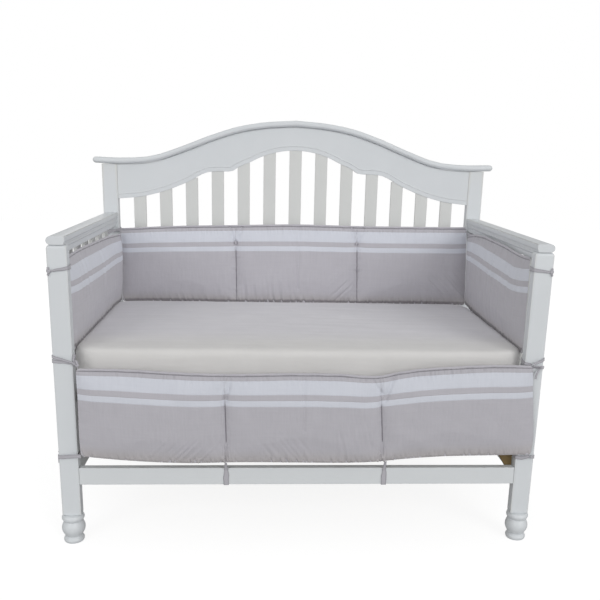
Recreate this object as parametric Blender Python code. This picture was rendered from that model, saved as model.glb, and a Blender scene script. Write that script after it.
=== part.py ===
"""A crib bumper on its crib.

Four padded panels stand around a mattress: a long one against the head slats, a long one across the
open front, and a short one against each side. Cloth tapes tie them to the posts and to the low rail.
The crib has four posts on turned feet, an arched head board under a moulded cap, and slatted sides.

Metres, +Z up. X runs along the crib, Y from front to back, and z = 0 is the floor.
"""
import math

import bmesh
import bpy
import numpy as np

# ---------------------------------------------------------------- driving sizes

JOIN_GAP = 0.0003            # left between two pieces that touch
POST_WIDTH = 0.0545          # across the front
POST_DEPTH = 0.032           # front to back
HALF_LENGTH = 0.7044         # centre of the crib to the posts' outer faces
FRONT_Y = -0.3903            # the front posts' front faces
BACK_Y = FRONT_Y + 0.760     # the back posts' front faces
POST_X = HALF_LENGTH - POST_WIDTH / 2
INNER_X = HALF_LENGTH - POST_WIDTH

RAIL_BOTTOM = 0.1853         # the low rails
RAIL_TOP = 0.2382
RAIL_THICK = 0.022
RAIL_SET_BACK = 0.002        # low rails and head board behind the posts' front faces

SLAT_PITCH = 0.0952          # head slats
SLAT_WIDTH = 0.0447
SLAT_THICK = 0.012
SLAT_COUNT = 13
SLAT_Y = BACK_Y + 0.004
SIDE_SLAT_PITCH = 0.1005
SIDE_SLAT_WIDTH = 0.048
SIDE_SLAT_COUNT = 6
SIDE_SLAT_MIDDLE = 0.384     # middle of the row, from the front posts' front faces

SIDE_TOP = 0.9155            # top of the caps on the side rails
SIDE_CAP_THICK = 0.0239
SIDE_RAIL_BOTTOM = 0.867
SIDE_CAP_INNER_X = 0.6535

CAP_HALF_LENGTH = 0.7346     # head cap
CAP_THICK = 0.0215
CAP_FRONT = -0.012           # from the back posts' front faces
CAP_BACK = 0.044
BOARD_THICK = 0.020

SIDE_RAIL_INNER_X = 0.6575   # top rail under the side cap
SIDE_RAIL_OUTER_X = 0.690
MOULD_STEP = 0.003           # how far the moulded edges step back
MOULD_DROP = 0.015           # height of the flat above the step

MATTRESS_HALF = 0.6535
MATTRESS_FRONT = 0.020       # from the front posts' front faces
MATTRESS_BACK = 0.726
MATTRESS_TOP = 0.595
MATTRESS_BOTTOM = 0.4535
MATTRESS_CORNER = 0.060      # rounding of its corners, seen from above
MATTRESS_TOP_ROUND = 0.016
MATTRESS_LOW_ROUND = 0.012
BASE_THICK = 0.018
BASE_FRONT = 0.026           # from the front posts' front faces

BLOCK_TOP = 0.295            # glue block behind the low rail
BLOCK_BOTTOM = 0.231
BLOCK_WIDE = 0.056
BLOCK_NARROW = 0.018
BLOCK_THICK = 0.018

PAD_CROWN = 0.026            # thickness in the middle of a section
PAD_SEAM_SHARE = 0.34        # share of it left at a sewn channel
PAD_EDGE = 0.0026            # thickness at the sewn edge
PAD_BACK_SHARE = 0.85        # the back of a panel is a little flatter than its face
FRONT_PAD_DEPTH = -0.0165    # middle of the front panel, from the front posts' front faces
BACK_PAD_DEPTH = -0.0175     # middle of the back panel, from the back posts' front faces
SIDE_PAD_OUT = 0.0135        # middle of a side panel, from its slats' inner faces

TAPE_WIDTH = 0.015           # flat tape
TAPE_EASED = 0.0125          # where it starts to narrow
TAPE_END = 0.012             # loose end
TAPE_DRAWN = 0.006           # drawn together at a knot
TAPE_THICK = 0.0012
TAPE_LIFT = 0.0016           # from a post's face to the middle of the tape
KNOT_RADIUS = 0.0056
KNOT_OFF = 0.0044            # from a post's faces to a knot at its corner

# Head cap: height of its top, from the middle of the crib outwards.
CAP_COLUMNS = ("x", "top")
CAP_ROWS = (
    (0.000, 1.2567),
    (0.107, 1.2491),
    (0.208, 1.2315),
    (0.310, 1.1990),
    (0.415, 1.1575),
    (0.517, 1.1230),
    (0.6175, 1.1125),
    (0.7346, 1.1145),
)

# Lower edge of the head board: a round arch, then a level shoulder and an ogee down to the post.
ARCH_TOP = 1.1510
ARCH_RADIUS = 0.332
SWEEP_COLUMNS = ("x", "edge")
SWEEP_ROWS = (
    (0.166, 1.1065),             # where the arch ends
    (0.190, 1.0972),
    (0.212, 1.0862),
    (0.230, 1.0740),
    (0.247, 1.0712),
    (0.285, 1.0715),
    (0.307, 1.0694),
    (0.325, 1.0665),
    (0.345, 1.0585),
    (0.380, 1.0385),
    (0.4527, 1.0063),
    (0.5495, 0.9777),
    (0.6535, 0.9655),
)

# Upper and lower edges of the panels, along the panel. Side panels run from front to back.
EDGE_COLUMNS = ("along", "top", "bottom")
BACK_EDGES = (
    (-0.642, 0.861, 0.5855),
    (-0.460, 0.872, 0.5865),
    (-0.218, 0.8795, 0.5850),
    (0.020, 0.886, 0.5865),
    (0.238, 0.8835, 0.5850),
    (0.430, 0.8845, 0.5865),
    (0.650, 0.886, 0.5855),
)
FRONT_EDGES = (
    (-0.634, 0.549, 0.2820),
    (-0.520, 0.5485, 0.2710),
    (-0.318, 0.538, 0.2615),
    (-0.2190, 0.536, 0.2640),
    (0.006, 0.540, 0.2630),
    (0.121, 0.538, 0.2620),
    (0.214, 0.5325, 0.2650),
    (0.300, 0.550, 0.2740),
    (0.431, 0.562, 0.2830),
    (0.560, 0.568, 0.2855),
    (0.680, 0.566, 0.2880),
)
LEFT_EDGES = (
    (0.056, 0.859, 0.5820),
    (0.135, 0.8615, 0.5815),
    (0.360, 0.8575, 0.5820),
    (0.560, 0.8510, 0.5830),
    (0.740, 0.8410, 0.5900),
)
RIGHT_EDGES = (
    (0.056, 0.8630, 0.5820),
    (0.110, 0.8610, 0.5815),
    (0.2575, 0.8655, 0.5820),
    (0.4535, 0.8650, 0.5820),
    (0.600, 0.8640, 0.5830),
    (0.740, 0.8550, 0.5900),
)

# ---------------------------------------------------------------- materials

FINISHES = {
    "painted_wood": ((0.62, 0.65, 0.66), 0.38),
    "raw_wood": ((0.26, 0.17, 0.07), 0.70),
    "panel_cloth": ((0.38, 0.37, 0.40), 0.90),
    "sheet_cloth": ((0.46, 0.45, 0.44), 0.90),
    "tape_cloth": ((0.30, 0.30, 0.32), 0.88),
}


def make_material(name):
    colour, roughness = FINISHES[name]
    material = bpy.data.materials.new(name)
    material.use_nodes = True
    shader = material.node_tree.nodes["Principled BSDF"]
    shader.inputs["Base Color"].default_value = (*colour, 1.0)
    shader.inputs["Roughness"].default_value = roughness
    shader.inputs["Metallic"].default_value = 0.0
    return material


# ---------------------------------------------------------------- shape helpers

def through(rows, columns, name, at):
    """The smooth curve through one column of a table, read at the given places."""
    places = np.array([row[0] for row in rows])
    values = np.array([row[columns.index(name)] for row in rows])
    slopes = np.gradient(values, places)
    at = np.clip(np.asarray(at, dtype=float), places[0], places[-1])
    left = np.clip(np.searchsorted(places, at, side="right") - 1, 0, len(places) - 2)
    span = places[left + 1] - places[left]
    t = (at - places[left]) / span
    from_left = (1 + 2 * t) * (1 - t) ** 2 * values[left] + t * (1 - t) ** 2 * span * slopes[left]
    from_right = t ** 2 * (3 - 2 * t) * values[left + 1] - t ** 2 * (1 - t) * span * slopes[left + 1]
    return from_left + from_right


def mirrored(positives):
    """The given places and their mirror images, in rising order."""
    places = {round(float(value), 6) for value in positives}
    return sorted(places | {-value for value in places})


def eased(count):
    """Steps from 0 to 1 that crowd together at both ends."""
    return [(1 - math.cos(math.pi * step / count)) / 2 for step in range(count + 1)]


def add_object(name, shape, material, smooth_angle=None):
    """Turn a bmesh into a named object with its faces pointing out."""
    bmesh.ops.recalc_face_normals(shape, faces=shape.faces)
    mesh = bpy.data.meshes.new(name)
    shape.to_mesh(mesh)
    shape.free()
    mesh.materials.append(material)
    if smooth_angle is not None:
        mesh.shade_smooth()
        mesh.set_sharp_from_angle(angle=math.radians(smooth_angle))
    item = bpy.data.objects.new(name, mesh)
    bpy.context.scene.collection.objects.link(item)
    return item


def loft(rings):
    """A closed solid through rings with equal numbers of points, closed flat at both ends."""
    shape = bmesh.new()
    rows = [[shape.verts.new(point) for point in ring] for ring in rings]
    count = len(rows[0])
    for low, high in zip(rows, rows[1:]):
        for i in range(count):
            j = (i + 1) % count
            shape.faces.new((low[i], low[j], high[j], high[i]))
    shape.faces.new(rows[0])
    shape.faces.new(rows[-1])
    return shape


def prism(outline, place, low, high):
    """A flat outline pushed from low to high; place(u, v, along) says where its points lie."""
    return loft([[place(u, v, along) for u, v in outline] for along in (low, high)])


def box(low, high):
    outline = ((low[0], low[1]), (high[0], low[1]), (high[0], high[1]), (low[0], high[1]))
    return prism(outline, lambda u, v, along: (u, v, along), low[2], high[2])


def arc(centre, radius, start, end, steps):
    """Points along an arc, angles in degrees."""
    angles = [math.radians(start + (end - start) * step / steps) for step in range(steps + 1)]
    return [(centre[0] + radius * math.cos(a), centre[1] + radius * math.sin(a)) for a in angles]


def grid_solid(front, back):
    """A filled cloth solid between two grids of points that share one outline."""
    shape = bmesh.new()
    faces = []
    for grid in (front, back):
        faces.append([[shape.verts.new(point) for point in row] for row in grid])
    rows, columns = len(front), len(front[0])
    for grid in faces:
        for i in range(rows - 1):
            for j in range(columns - 1):
                shape.faces.new((grid[i][j], grid[i][j + 1], grid[i + 1][j + 1], grid[i + 1][j]))
    rim = [(0, j) for j in range(columns)] + [(i, columns - 1) for i in range(1, rows)]
    rim += [(rows - 1, j) for j in range(columns - 2, -1, -1)] + [(i, 0) for i in range(rows - 2, 0, -1)]
    for (i, j), (k, l) in zip(rim, rim[1:] + rim[:1]):
        shape.faces.new((faces[0][i][j], faces[0][k][l], faces[1][k][l], faces[1][i][j]))
    return shape


# ---------------------------------------------------------------- posts on turned feet

FOOT_TOP = 0.0885
POST_SIDES = 16
SHOULDER_ROUND = 0.009

FOOT_COLUMNS = ("low", "high", "radius_low", "radius_high", "radius_middle", "steps")
FOOT_ROWS = (
    (0.0000, 0.0180, 0.0275, 0.0232, 0.0298, 3),     # disc on the floor
    (0.0180, 0.0660, 0.0232, 0.0268, 0.0341, 6),     # ball
    (0.0660, 0.0850, 0.0268, 0.0300, 0.0328, 3),     # bead under the post
    (0.0850, FOOT_TOP, 0.0300, 0.0155, 0.0270, 3),   # its rounded top, closing in under the post
)


def foot_profile():
    """Heights and radii of the turned foot, from the floor up."""
    profile = [(0.0, FOOT_ROWS[0][2])]
    for low, high, radius_low, radius_high, radius_middle, steps in FOOT_ROWS:
        swell = radius_middle - (radius_low + radius_high) / 2
        for step in range(1, steps + 1):
            t = step / steps
            radius = radius_low + (radius_high - radius_low) * t + swell * math.sin(math.pi * t)
            profile.append((low + (high - low) * t, radius))
    return profile


def post_ring(x, y, z, radius=None, inset=0.0):
    """A round ring, or a square one inset from the post's faces."""
    ring = []
    for side in range(POST_SIDES):
        angle = 2 * math.pi * side / POST_SIDES
        across, along = math.cos(angle), math.sin(angle)
        if radius is None:
            reach = max(abs(across), abs(along))
            ring.append((x + across / reach * (POST_WIDTH / 2 - inset),
                         y + along / reach * (POST_DEPTH / 2 - inset), z))
        else:
            ring.append((x + across * radius, y + along * radius, z))
    return ring


def make_post(name, x, front, top, rounding, material):
    y = front + POST_DEPTH / 2
    rings = [post_ring(x, y, z, radius=radius) for z, radius in foot_profile()]
    rings.append(post_ring(x, y, FOOT_TOP))
    if rounding:
        for angle in (0, 35, 65, 90):
            turn = math.radians(angle)
            inset = rounding * (1 - math.cos(turn))
            rings.append(post_ring(x, y, top - rounding * (1 - math.sin(turn)), inset=inset))
    else:
        rings.append(post_ring(x, y, top))
    return add_object(name, loft(rings), material, 40)


# ---------------------------------------------------------------- head board

def cap_top(x):
    return through(CAP_ROWS, CAP_COLUMNS, "top", np.abs(x))


def cap_underside(x):
    """The cap keeps its thickness square to its slope."""
    step = 0.002
    slope = (cap_top(np.abs(x) + step) - cap_top(np.abs(x) - step)) / (2 * step)
    slope = np.where(np.abs(x) < step, 0.0, slope)
    return cap_top(x) - CAP_THICK * np.sqrt(1 + slope ** 2)


def board_edge(x):
    """Height of the board's lower edge."""
    x = abs(x)
    if x <= SWEEP_ROWS[0][0]:
        return ARCH_TOP - ARCH_RADIUS + math.sqrt(ARCH_RADIUS ** 2 - x ** 2)
    return float(through(SWEEP_ROWS, SWEEP_COLUMNS, "edge", x))


def head_slat_centres():
    middle = (SLAT_COUNT - 1) / 2
    return [(number - middle) * SLAT_PITCH for number in range(SLAT_COUNT)]


def board_stations():
    """Places where the board's outline has points, a slat's edges among them."""
    stations = [0.0, INNER_X - JOIN_GAP]
    stations += [0.045 * step for step in range(1, 15)]
    stations += [row[0] for row in SWEEP_ROWS[:-1]]
    for centre in head_slat_centres():
        stations += [abs(centre - SLAT_WIDTH / 2), abs(centre + SLAT_WIDTH / 2)]
    return mirrored(stations)


def make_head_cap(material):
    straight = CAP_HALF_LENGTH - CAP_THICK / 2
    places = [value for value in board_stations() if value >= 0][::2]
    places += [0.66, 0.69, straight]
    places += [straight + CAP_THICK / 2 * share for share in (0.45, 0.78, 0.96, 1.0)]
    rings = []
    for x in mirrored(places):
        past = max(0.0, abs(x) - straight) / (CAP_THICK / 2)
        thin = max(0.18, math.sqrt(max(0.0, 1 - past ** 2)))
        top, under = float(cap_top(x)), float(cap_underside(x))
        middle, half = (top + under) / 2, (top - under) / 2 * thin
        draw = CAP_THICK / 2 * (1 - thin)
        front = BACK_Y + CAP_FRONT + half + draw
        back = BACK_Y + CAP_BACK - half - draw
        outline = arc((front, middle), half, 270, 90, 5) + arc((back, middle), half, 90, -90, 5)
        rings.append([(x, y, z) for y, z in outline])
    return add_object("head_cap", loft(rings), material, 35)


def make_head_board(material):
    stations = board_stations()
    outline = [(x, board_edge(x)) for x in stations]
    outline += [(x, float(cap_underside(x)) - 2 * JOIN_GAP) for x in reversed(stations[::2])]
    front = BACK_Y + RAIL_SET_BACK
    shape = prism(outline, lambda x, z, y: (x, y, z), front, front + BOARD_THICK)
    return add_object("head_board", shape, material)


def make_head_slats(material):
    stations = board_stations()
    for number, centre in enumerate(head_slat_centres()):
        low, high = centre - SLAT_WIDTH / 2, centre + SLAT_WIDTH / 2
        tops = [x for x in stations if low - 1e-5 <= x <= high + 1e-5]
        outline = [(low, RAIL_TOP + JOIN_GAP), (high, RAIL_TOP + JOIN_GAP)]
        outline += [(x, board_edge(x) - JOIN_GAP) for x in reversed(tops)]
        shape = prism(outline, lambda x, z, y: (x, y, z), SLAT_Y, SLAT_Y + SLAT_THICK)
        add_object(f"head_slat_{number + 1}", shape, material)


# ---------------------------------------------------------------- rails and sides

def make_low_rail(name, front, material):
    reach = INNER_X - JOIN_GAP
    shape = box((-reach, front, RAIL_BOTTOM), (reach, front + RAIL_THICK, RAIL_TOP))
    return add_object(name, shape, material)


def make_side(name, side, material):
    """One slatted side: cap, top rail, low rail and slats. side is -1 at the left, 1 at the right."""
    start = FRONT_Y + POST_DEPTH + JOIN_GAP
    end = BACK_Y - JOIN_GAP

    def across(x, z, y):
        return (side * x, y, z)

    half = SIDE_CAP_THICK / 2
    middle = SIDE_TOP - half
    nosing = arc((HALF_LENGTH - half, middle), half, -90, 90, 6)
    stepped = SIDE_CAP_INNER_X + MOULD_STEP
    moulding = [(SIDE_CAP_INNER_X + MOULD_STEP / 2, SIDE_TOP), (SIDE_CAP_INNER_X, SIDE_TOP - MOULD_STEP / 2),
                (SIDE_CAP_INNER_X, SIDE_TOP - MOULD_DROP), (stepped, SIDE_TOP - MOULD_DROP - MOULD_STEP),
                (stepped, SIDE_TOP - SIDE_CAP_THICK)]
    add_object(f"{name}_cap", prism(nosing + moulding, across, FRONT_Y, end), material, 35)

    rail_top = SIDE_TOP - SIDE_CAP_THICK - JOIN_GAP
    stepped = SIDE_RAIL_INNER_X + MOULD_STEP
    bottom, mould = SIDE_RAIL_BOTTOM, SIDE_RAIL_BOTTOM + MOULD_DROP
    outline = [(SIDE_RAIL_OUTER_X, rail_top), (SIDE_RAIL_OUTER_X, bottom), (stepped, bottom),
               (stepped, mould), (SIDE_RAIL_INNER_X, mould + MOULD_STEP), (SIDE_RAIL_INNER_X, rail_top)]
    add_object(f"{name}_rail", prism(outline, across, start, end), material)

    inner, outer = POST_X - RAIL_THICK / 2, POST_X + RAIL_THICK / 2
    low, high = sorted((side * inner, side * outer))
    add_object(f"{name}_low_rail", box((low, start, RAIL_BOTTOM), (high, end, RAIL_TOP)), material)

    low, high = sorted((side * (POST_X - SLAT_THICK / 2), side * (POST_X + SLAT_THICK / 2)))
    for number in range(SIDE_SLAT_COUNT):
        centre = FRONT_Y + SIDE_SLAT_MIDDLE + (number - (SIDE_SLAT_COUNT - 1) / 2) * SIDE_SLAT_PITCH
        shape = box((low, centre - SIDE_SLAT_WIDTH / 2, RAIL_TOP + JOIN_GAP),
                    (high, centre + SIDE_SLAT_WIDTH / 2, SIDE_RAIL_BOTTOM - JOIN_GAP))
        add_object(f"{name}_slat_{number + 1}", shape, material)


def make_base(material):
    """A board between the four posts, notched past the front ones."""
    wide, narrow = POST_X - SLAT_THICK, INNER_X - JOIN_GAP
    front, shoulder = FRONT_Y + BASE_FRONT, FRONT_Y + POST_DEPTH + JOIN_GAP
    back = BACK_Y - JOIN_GAP
    outline = [(-narrow, front), (narrow, front), (narrow, shoulder), (wide, shoulder), (wide, back),
               (-wide, back), (-wide, shoulder), (-narrow, shoulder)]
    top = MATTRESS_BOTTOM - JOIN_GAP
    shape = prism(outline, lambda x, y, z: (x, y, z), top - BASE_THICK, top)
    return add_object("mattress_base", shape, material)


def make_corner_block(material):
    """An unpainted block on the low rail's back, in the right front corner, clear of the post's tape."""
    inner = INNER_X - 2 * TAPE_LIFT
    outline = [(inner, BLOCK_BOTTOM), (inner, BLOCK_TOP), (inner - BLOCK_WIDE, BLOCK_TOP),
               (inner - BLOCK_NARROW, BLOCK_BOTTOM)]
    front = FRONT_Y + RAIL_SET_BACK + RAIL_THICK + JOIN_GAP
    shape = prism(outline, lambda x, z, y: (x, y, z), front, front + BLOCK_THICK)
    return add_object("corner_block", shape, material)


# ---------------------------------------------------------------- mattress

def make_mattress(material):
    corner, top_round, low_round = MATTRESS_CORNER, MATTRESS_TOP_ROUND, MATTRESS_LOW_ROUND
    front, back = FRONT_Y + MATTRESS_FRONT, FRONT_Y + MATTRESS_BACK
    levels = [(low_round * (1 - math.sin(a)), MATTRESS_BOTTOM + low_round * (1 - math.cos(a)))
              for a in (0.0, math.pi / 4, math.pi / 2)]
    levels += [(top_round * (1 - math.cos(a)), MATTRESS_TOP - top_round * (1 - math.sin(a)))
               for a in (0.0, math.pi / 6, math.pi / 3, math.pi / 2)]
    rings = []
    for inset, z in levels:
        radius = corner - inset
        right, left = MATTRESS_HALF - corner, corner - MATTRESS_HALF
        near, far = front + corner, back - corner
        outline = arc((right, near), radius, -90, 0, 6) + arc((right, far), radius, 0, 90, 6)
        outline += arc((left, far), radius, 90, 180, 6) + arc((left, near), radius, 180, 270, 6)
        rings.append([(x, y, z) for x, y in outline])
    return add_object("mattress", loft(rings), material, 50)


# ---------------------------------------------------------------- padded panels

CORNER_ROUND = 0.010
CROWN_POWER = 2.6        # above 2, a section is flatter in its middle than a circle's arc
END_SHARPNESS = 8        # keeps the rounding of a corner near the panel's end
ROWS_UP = 10
SECTION_STEPS = 9

# Each end of a long panel, at its top and at its bottom edge, and its channels as shares of its length.
BACK_ENDS = ((-0.639, -0.640), (0.649, 0.650))
BACK_SEAMS = (0.328, 0.678)
FRONT_ENDS = ((-0.630, -0.636), (0.666, 0.686))
FRONT_SEAMS = (0.3165, 0.6600)
SIDE_PAD_START = 0.0470      # from the front posts' front faces
SIDE_PAD_END = 0.7400


def fullness(t):
    """How full a section is, from 0 at its two sewn edges to 1 in the middle."""
    return math.sqrt(max(0.0, 1 - abs(2 * t - 1) ** CROWN_POWER))


def corner_inset(height, span):
    """How far a panel's end draws in near its rounded corners."""
    near = min(height, span - height)
    if near >= CORNER_ROUND:
        return 0.0
    return CORNER_ROUND - math.sqrt(CORNER_ROUND ** 2 - (CORNER_ROUND - near) ** 2)


def panel_grids(edges, ends, seams, steps, place):
    """Both faces of a panel. ends gives each end's place at its top and at its bottom edge, seams the
    channels between as shares of its length, and place(along, out, height) a point, out to its face side."""
    stops = [0.0] + list(seams) + [1.0]
    fractions = []
    for low, high in zip(stops, stops[1:]):
        fractions += [(low + (high - low) * t, t) for t in eased(steps)[:-1]]
    fractions.append((1.0, 1.0))
    front, back = [], []
    for share, local in fractions:
        at_panel_end = share < stops[1] and local < 0.5 or share > stops[-2] and local > 0.5
        base = 0.0 if at_panel_end or share in (0.0, 1.0) else PAD_SEAM_SHARE
        across = base + (1 - base) * fullness(local)
        front_row, back_row = [], []
        for up in eased(ROWS_UP):
            start = ends[0][1] + (ends[0][0] - ends[0][1]) * up
            finish = ends[1][1] + (ends[1][0] - ends[1][1]) * up
            along = start + (finish - start) * share
            top = float(through(edges, EDGE_COLUMNS, "top", along))
            bottom = float(through(edges, EDGE_COLUMNS, "bottom", along))
            height = (top - bottom) * up
            inset = corner_inset(height, top - bottom)
            along += inset * (1 - 2 * share) * abs(1 - 2 * share) ** END_SHARPNESS
            thick = PAD_EDGE / 2 + (PAD_CROWN / 2 - PAD_EDGE / 2) * across * fullness(up)
            front_row.append(place(along, thick, bottom + height))
            back_row.append(place(along, -thick * PAD_BACK_SHARE, bottom + height))
        front.append(front_row)
        back.append(back_row)
    return front, back


def make_long_panel(name, edges, ends, seams, plane, material):
    """The back or the front panel, in three sections."""
    front, back = panel_grids(edges, ends, seams, SECTION_STEPS,
                              lambda along, out, z: (along, plane - out, z))
    return add_object(name, grid_solid(front, back), material, 70)


def make_side_panel(name, side, edges, material):
    """A side panel, in one section, from the front post to the back panel."""
    plane = POST_X - SLAT_THICK / 2 - SIDE_PAD_OUT
    ends = ((SIDE_PAD_START, SIDE_PAD_START), (SIDE_PAD_END, SIDE_PAD_END))
    front, back = panel_grids(edges, ends, (), 2 * SECTION_STEPS,
                              lambda along, out, z: (side * (plane - out), FRONT_Y + along, z))
    return add_object(name, grid_solid(front, back), material, 70)


def make_panels(material):
    make_long_panel("pad_back", BACK_EDGES, BACK_ENDS, BACK_SEAMS, BACK_Y + BACK_PAD_DEPTH, material)
    make_long_panel("pad_front", FRONT_EDGES, FRONT_ENDS, FRONT_SEAMS, FRONT_Y + FRONT_PAD_DEPTH, material)
    make_side_panel("pad_left", -1, LEFT_EDGES, material)
    make_side_panel("pad_right", 1, RIGHT_EDGES, material)


# ---------------------------------------------------------------- tapes

UP = (0.0, 0.0, 1.0)
FORWARDS = (0.0, -1.0, 0.0)
BACKWARDS = (0.0, 1.0, 0.0)
LEFTWARDS = (-1.0, 0.0, 0.0)
RIGHTWARDS = (1.0, 0.0, 0.0)
FRONT_INNER, FRONT_OUTER, BACK_OUTER, BACK_INNER = range(4)


def ribbon(points, widths, facing=None, across=UP):
    """A flat tape through points. It lies with its face to facing, or with its width along across."""
    points = [np.array(point, dtype=float) for point in points]
    rings = []
    for i, width in enumerate(widths):
        forward = points[min(i + 1, len(points) - 1)] - points[max(i - 1, 0)]
        side = np.cross(facing, forward) if facing is not None else np.array(across)
        side /= np.linalg.norm(side)
        normal = np.cross(forward, side)
        normal /= np.linalg.norm(normal)
        ring = [points[i] + side * u * width / 2 + normal * v * TAPE_THICK / 2
                for u, v in ((-1, -1), (1, -1), (1, 1), (-1, 1))]
        rings.append([tuple(corner) for corner in ring])
    return loft(rings)


def knot(centre, radius):
    """The lump of a knot, a little flatter from front to back."""
    shape = bmesh.new()
    bmesh.ops.create_icosphere(shape, subdivisions=1, radius=radius)
    bmesh.ops.scale(shape, vec=(1.0, 0.85, 1.1), verts=shape.verts)
    bmesh.ops.translate(shape, vec=centre, verts=shape.verts)
    return shape


def fuse(name, shapes, material):
    """Join overlapping closed shapes into one solid."""
    pieces = [add_object(f"{name}_{number}", shape, material) for number, shape in enumerate(shapes)]
    base = pieces[0]
    for piece in pieces[1:]:
        joint = base.modifiers.new("join", "BOOLEAN")
        joint.operation = "UNION"
        joint.object = piece
    bpy.context.view_layer.update()
    joined = bpy.data.meshes.new_from_object(base.evaluated_get(bpy.context.evaluated_depsgraph_get()))
    for piece in pieces:
        bpy.data.objects.remove(piece, do_unlink=True)
    joined.name = name
    item = bpy.data.objects.new(name, joined)
    bpy.context.scene.collection.objects.link(item)
    return item


def post_corner(side, front, corner):
    """The two points where a tape leaves one face of a post and starts on the next."""
    across = -1 if corner in (FRONT_INNER, BACK_INNER) else 1
    along = -1 if corner in (FRONT_INNER, FRONT_OUTER) else 1
    half_x, half_y = POST_WIDTH / 2, POST_DEPTH / 2
    middle_y = front + half_y
    on_side = (side * (POST_X + across * (half_x + TAPE_LIFT)), middle_y + along * half_y)
    on_face = (side * (POST_X + across * half_x), middle_y + along * (half_y + TAPE_LIFT))
    return on_side, on_face


def tape_route(side, front, stops):
    """Points and widths of a tape. A stop is a post's corner or a place (x, depth), a height, a width."""
    points, widths = [], []
    for place, height, width in stops:
        if isinstance(place, tuple):
            turns = [(place[0], front + place[1])]
        else:
            turns = list(post_corner(side, front, place))
            if points:
                turns.sort(key=lambda turn: math.dist(turn, points[-1][:2]))
        for turn in turns:
            points.append((*turn, height))
            widths.append(width)
    return points, widths


def make_post_tape(name, side, front, knot_place, strips, material):
    """A knot and the strips that run to and from it. strips are (facing, stops) pairs."""
    x, depth, height = knot_place
    shapes = [knot((x, front + depth, height), KNOT_RADIUS)]
    for facing, stops in strips:
        points, widths = tape_route(side, front, stops)
        shapes.append(ribbon(points, widths, facing))
    return fuse(name, shapes, material)


def make_side_tape(name, side, inner_height, outer_height, material):
    """Around a front post, past the side panel's end behind it, with the knot at the outer front corner."""
    x, depth = side * (HALF_LENGTH + KNOT_OFF), -KNOT_OFF
    middle = (inner_height + outer_height) / 2
    start = ((x, depth), outer_height, TAPE_DRAWN)
    loop = (start, (FRONT_INNER, inner_height, TAPE_EASED), (BACK_INNER, inner_height, TAPE_WIDTH),
            (BACK_OUTER, middle, TAPE_WIDTH), ((x, depth + 0.0014), outer_height, TAPE_DRAWN))
    short_end = (start, ((x + side * 0.001, 0.003), outer_height + 0.011, TAPE_END))
    long_end = (start, ((x + side * 0.002, 0.004), outer_height - 0.012, TAPE_END))
    outwards = (side, 0.0, 0.0)
    make_post_tape(name, side, FRONT_Y, (x, depth, outer_height),
                   ((None, loop), (outwards, short_end), (outwards, long_end)), material)


def make_back_tape(name, side, sewn_x, knot_x, height, material):
    """From the back panel's top corner around a back post, knotted beside the panel's end."""
    depth = BACK_PAD_DEPTH
    start = ((knot_x, depth), height, TAPE_DRAWN)
    loop = (((knot_x + side * 0.002, depth), height, TAPE_DRAWN), (FRONT_OUTER, height, TAPE_EASED),
            (BACK_OUTER, height, TAPE_WIDTH), (BACK_INNER, height, TAPE_WIDTH),
            (FRONT_INNER, height, TAPE_EASED), ((knot_x - side * 0.002, depth + 0.002), height, TAPE_DRAWN))
    link = (start, ((sewn_x, depth), height + 0.001, 0.010))
    free_end = (start, ((knot_x + side * 0.014, depth), height - 0.008, TAPE_END),
                ((knot_x + side * 0.022, depth), height - 0.020, TAPE_END))
    make_post_tape(name, side, BACK_Y, (knot_x, depth, height),
                   ((None, loop), (None, link), (FORWARDS, free_end)), material)


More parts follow.
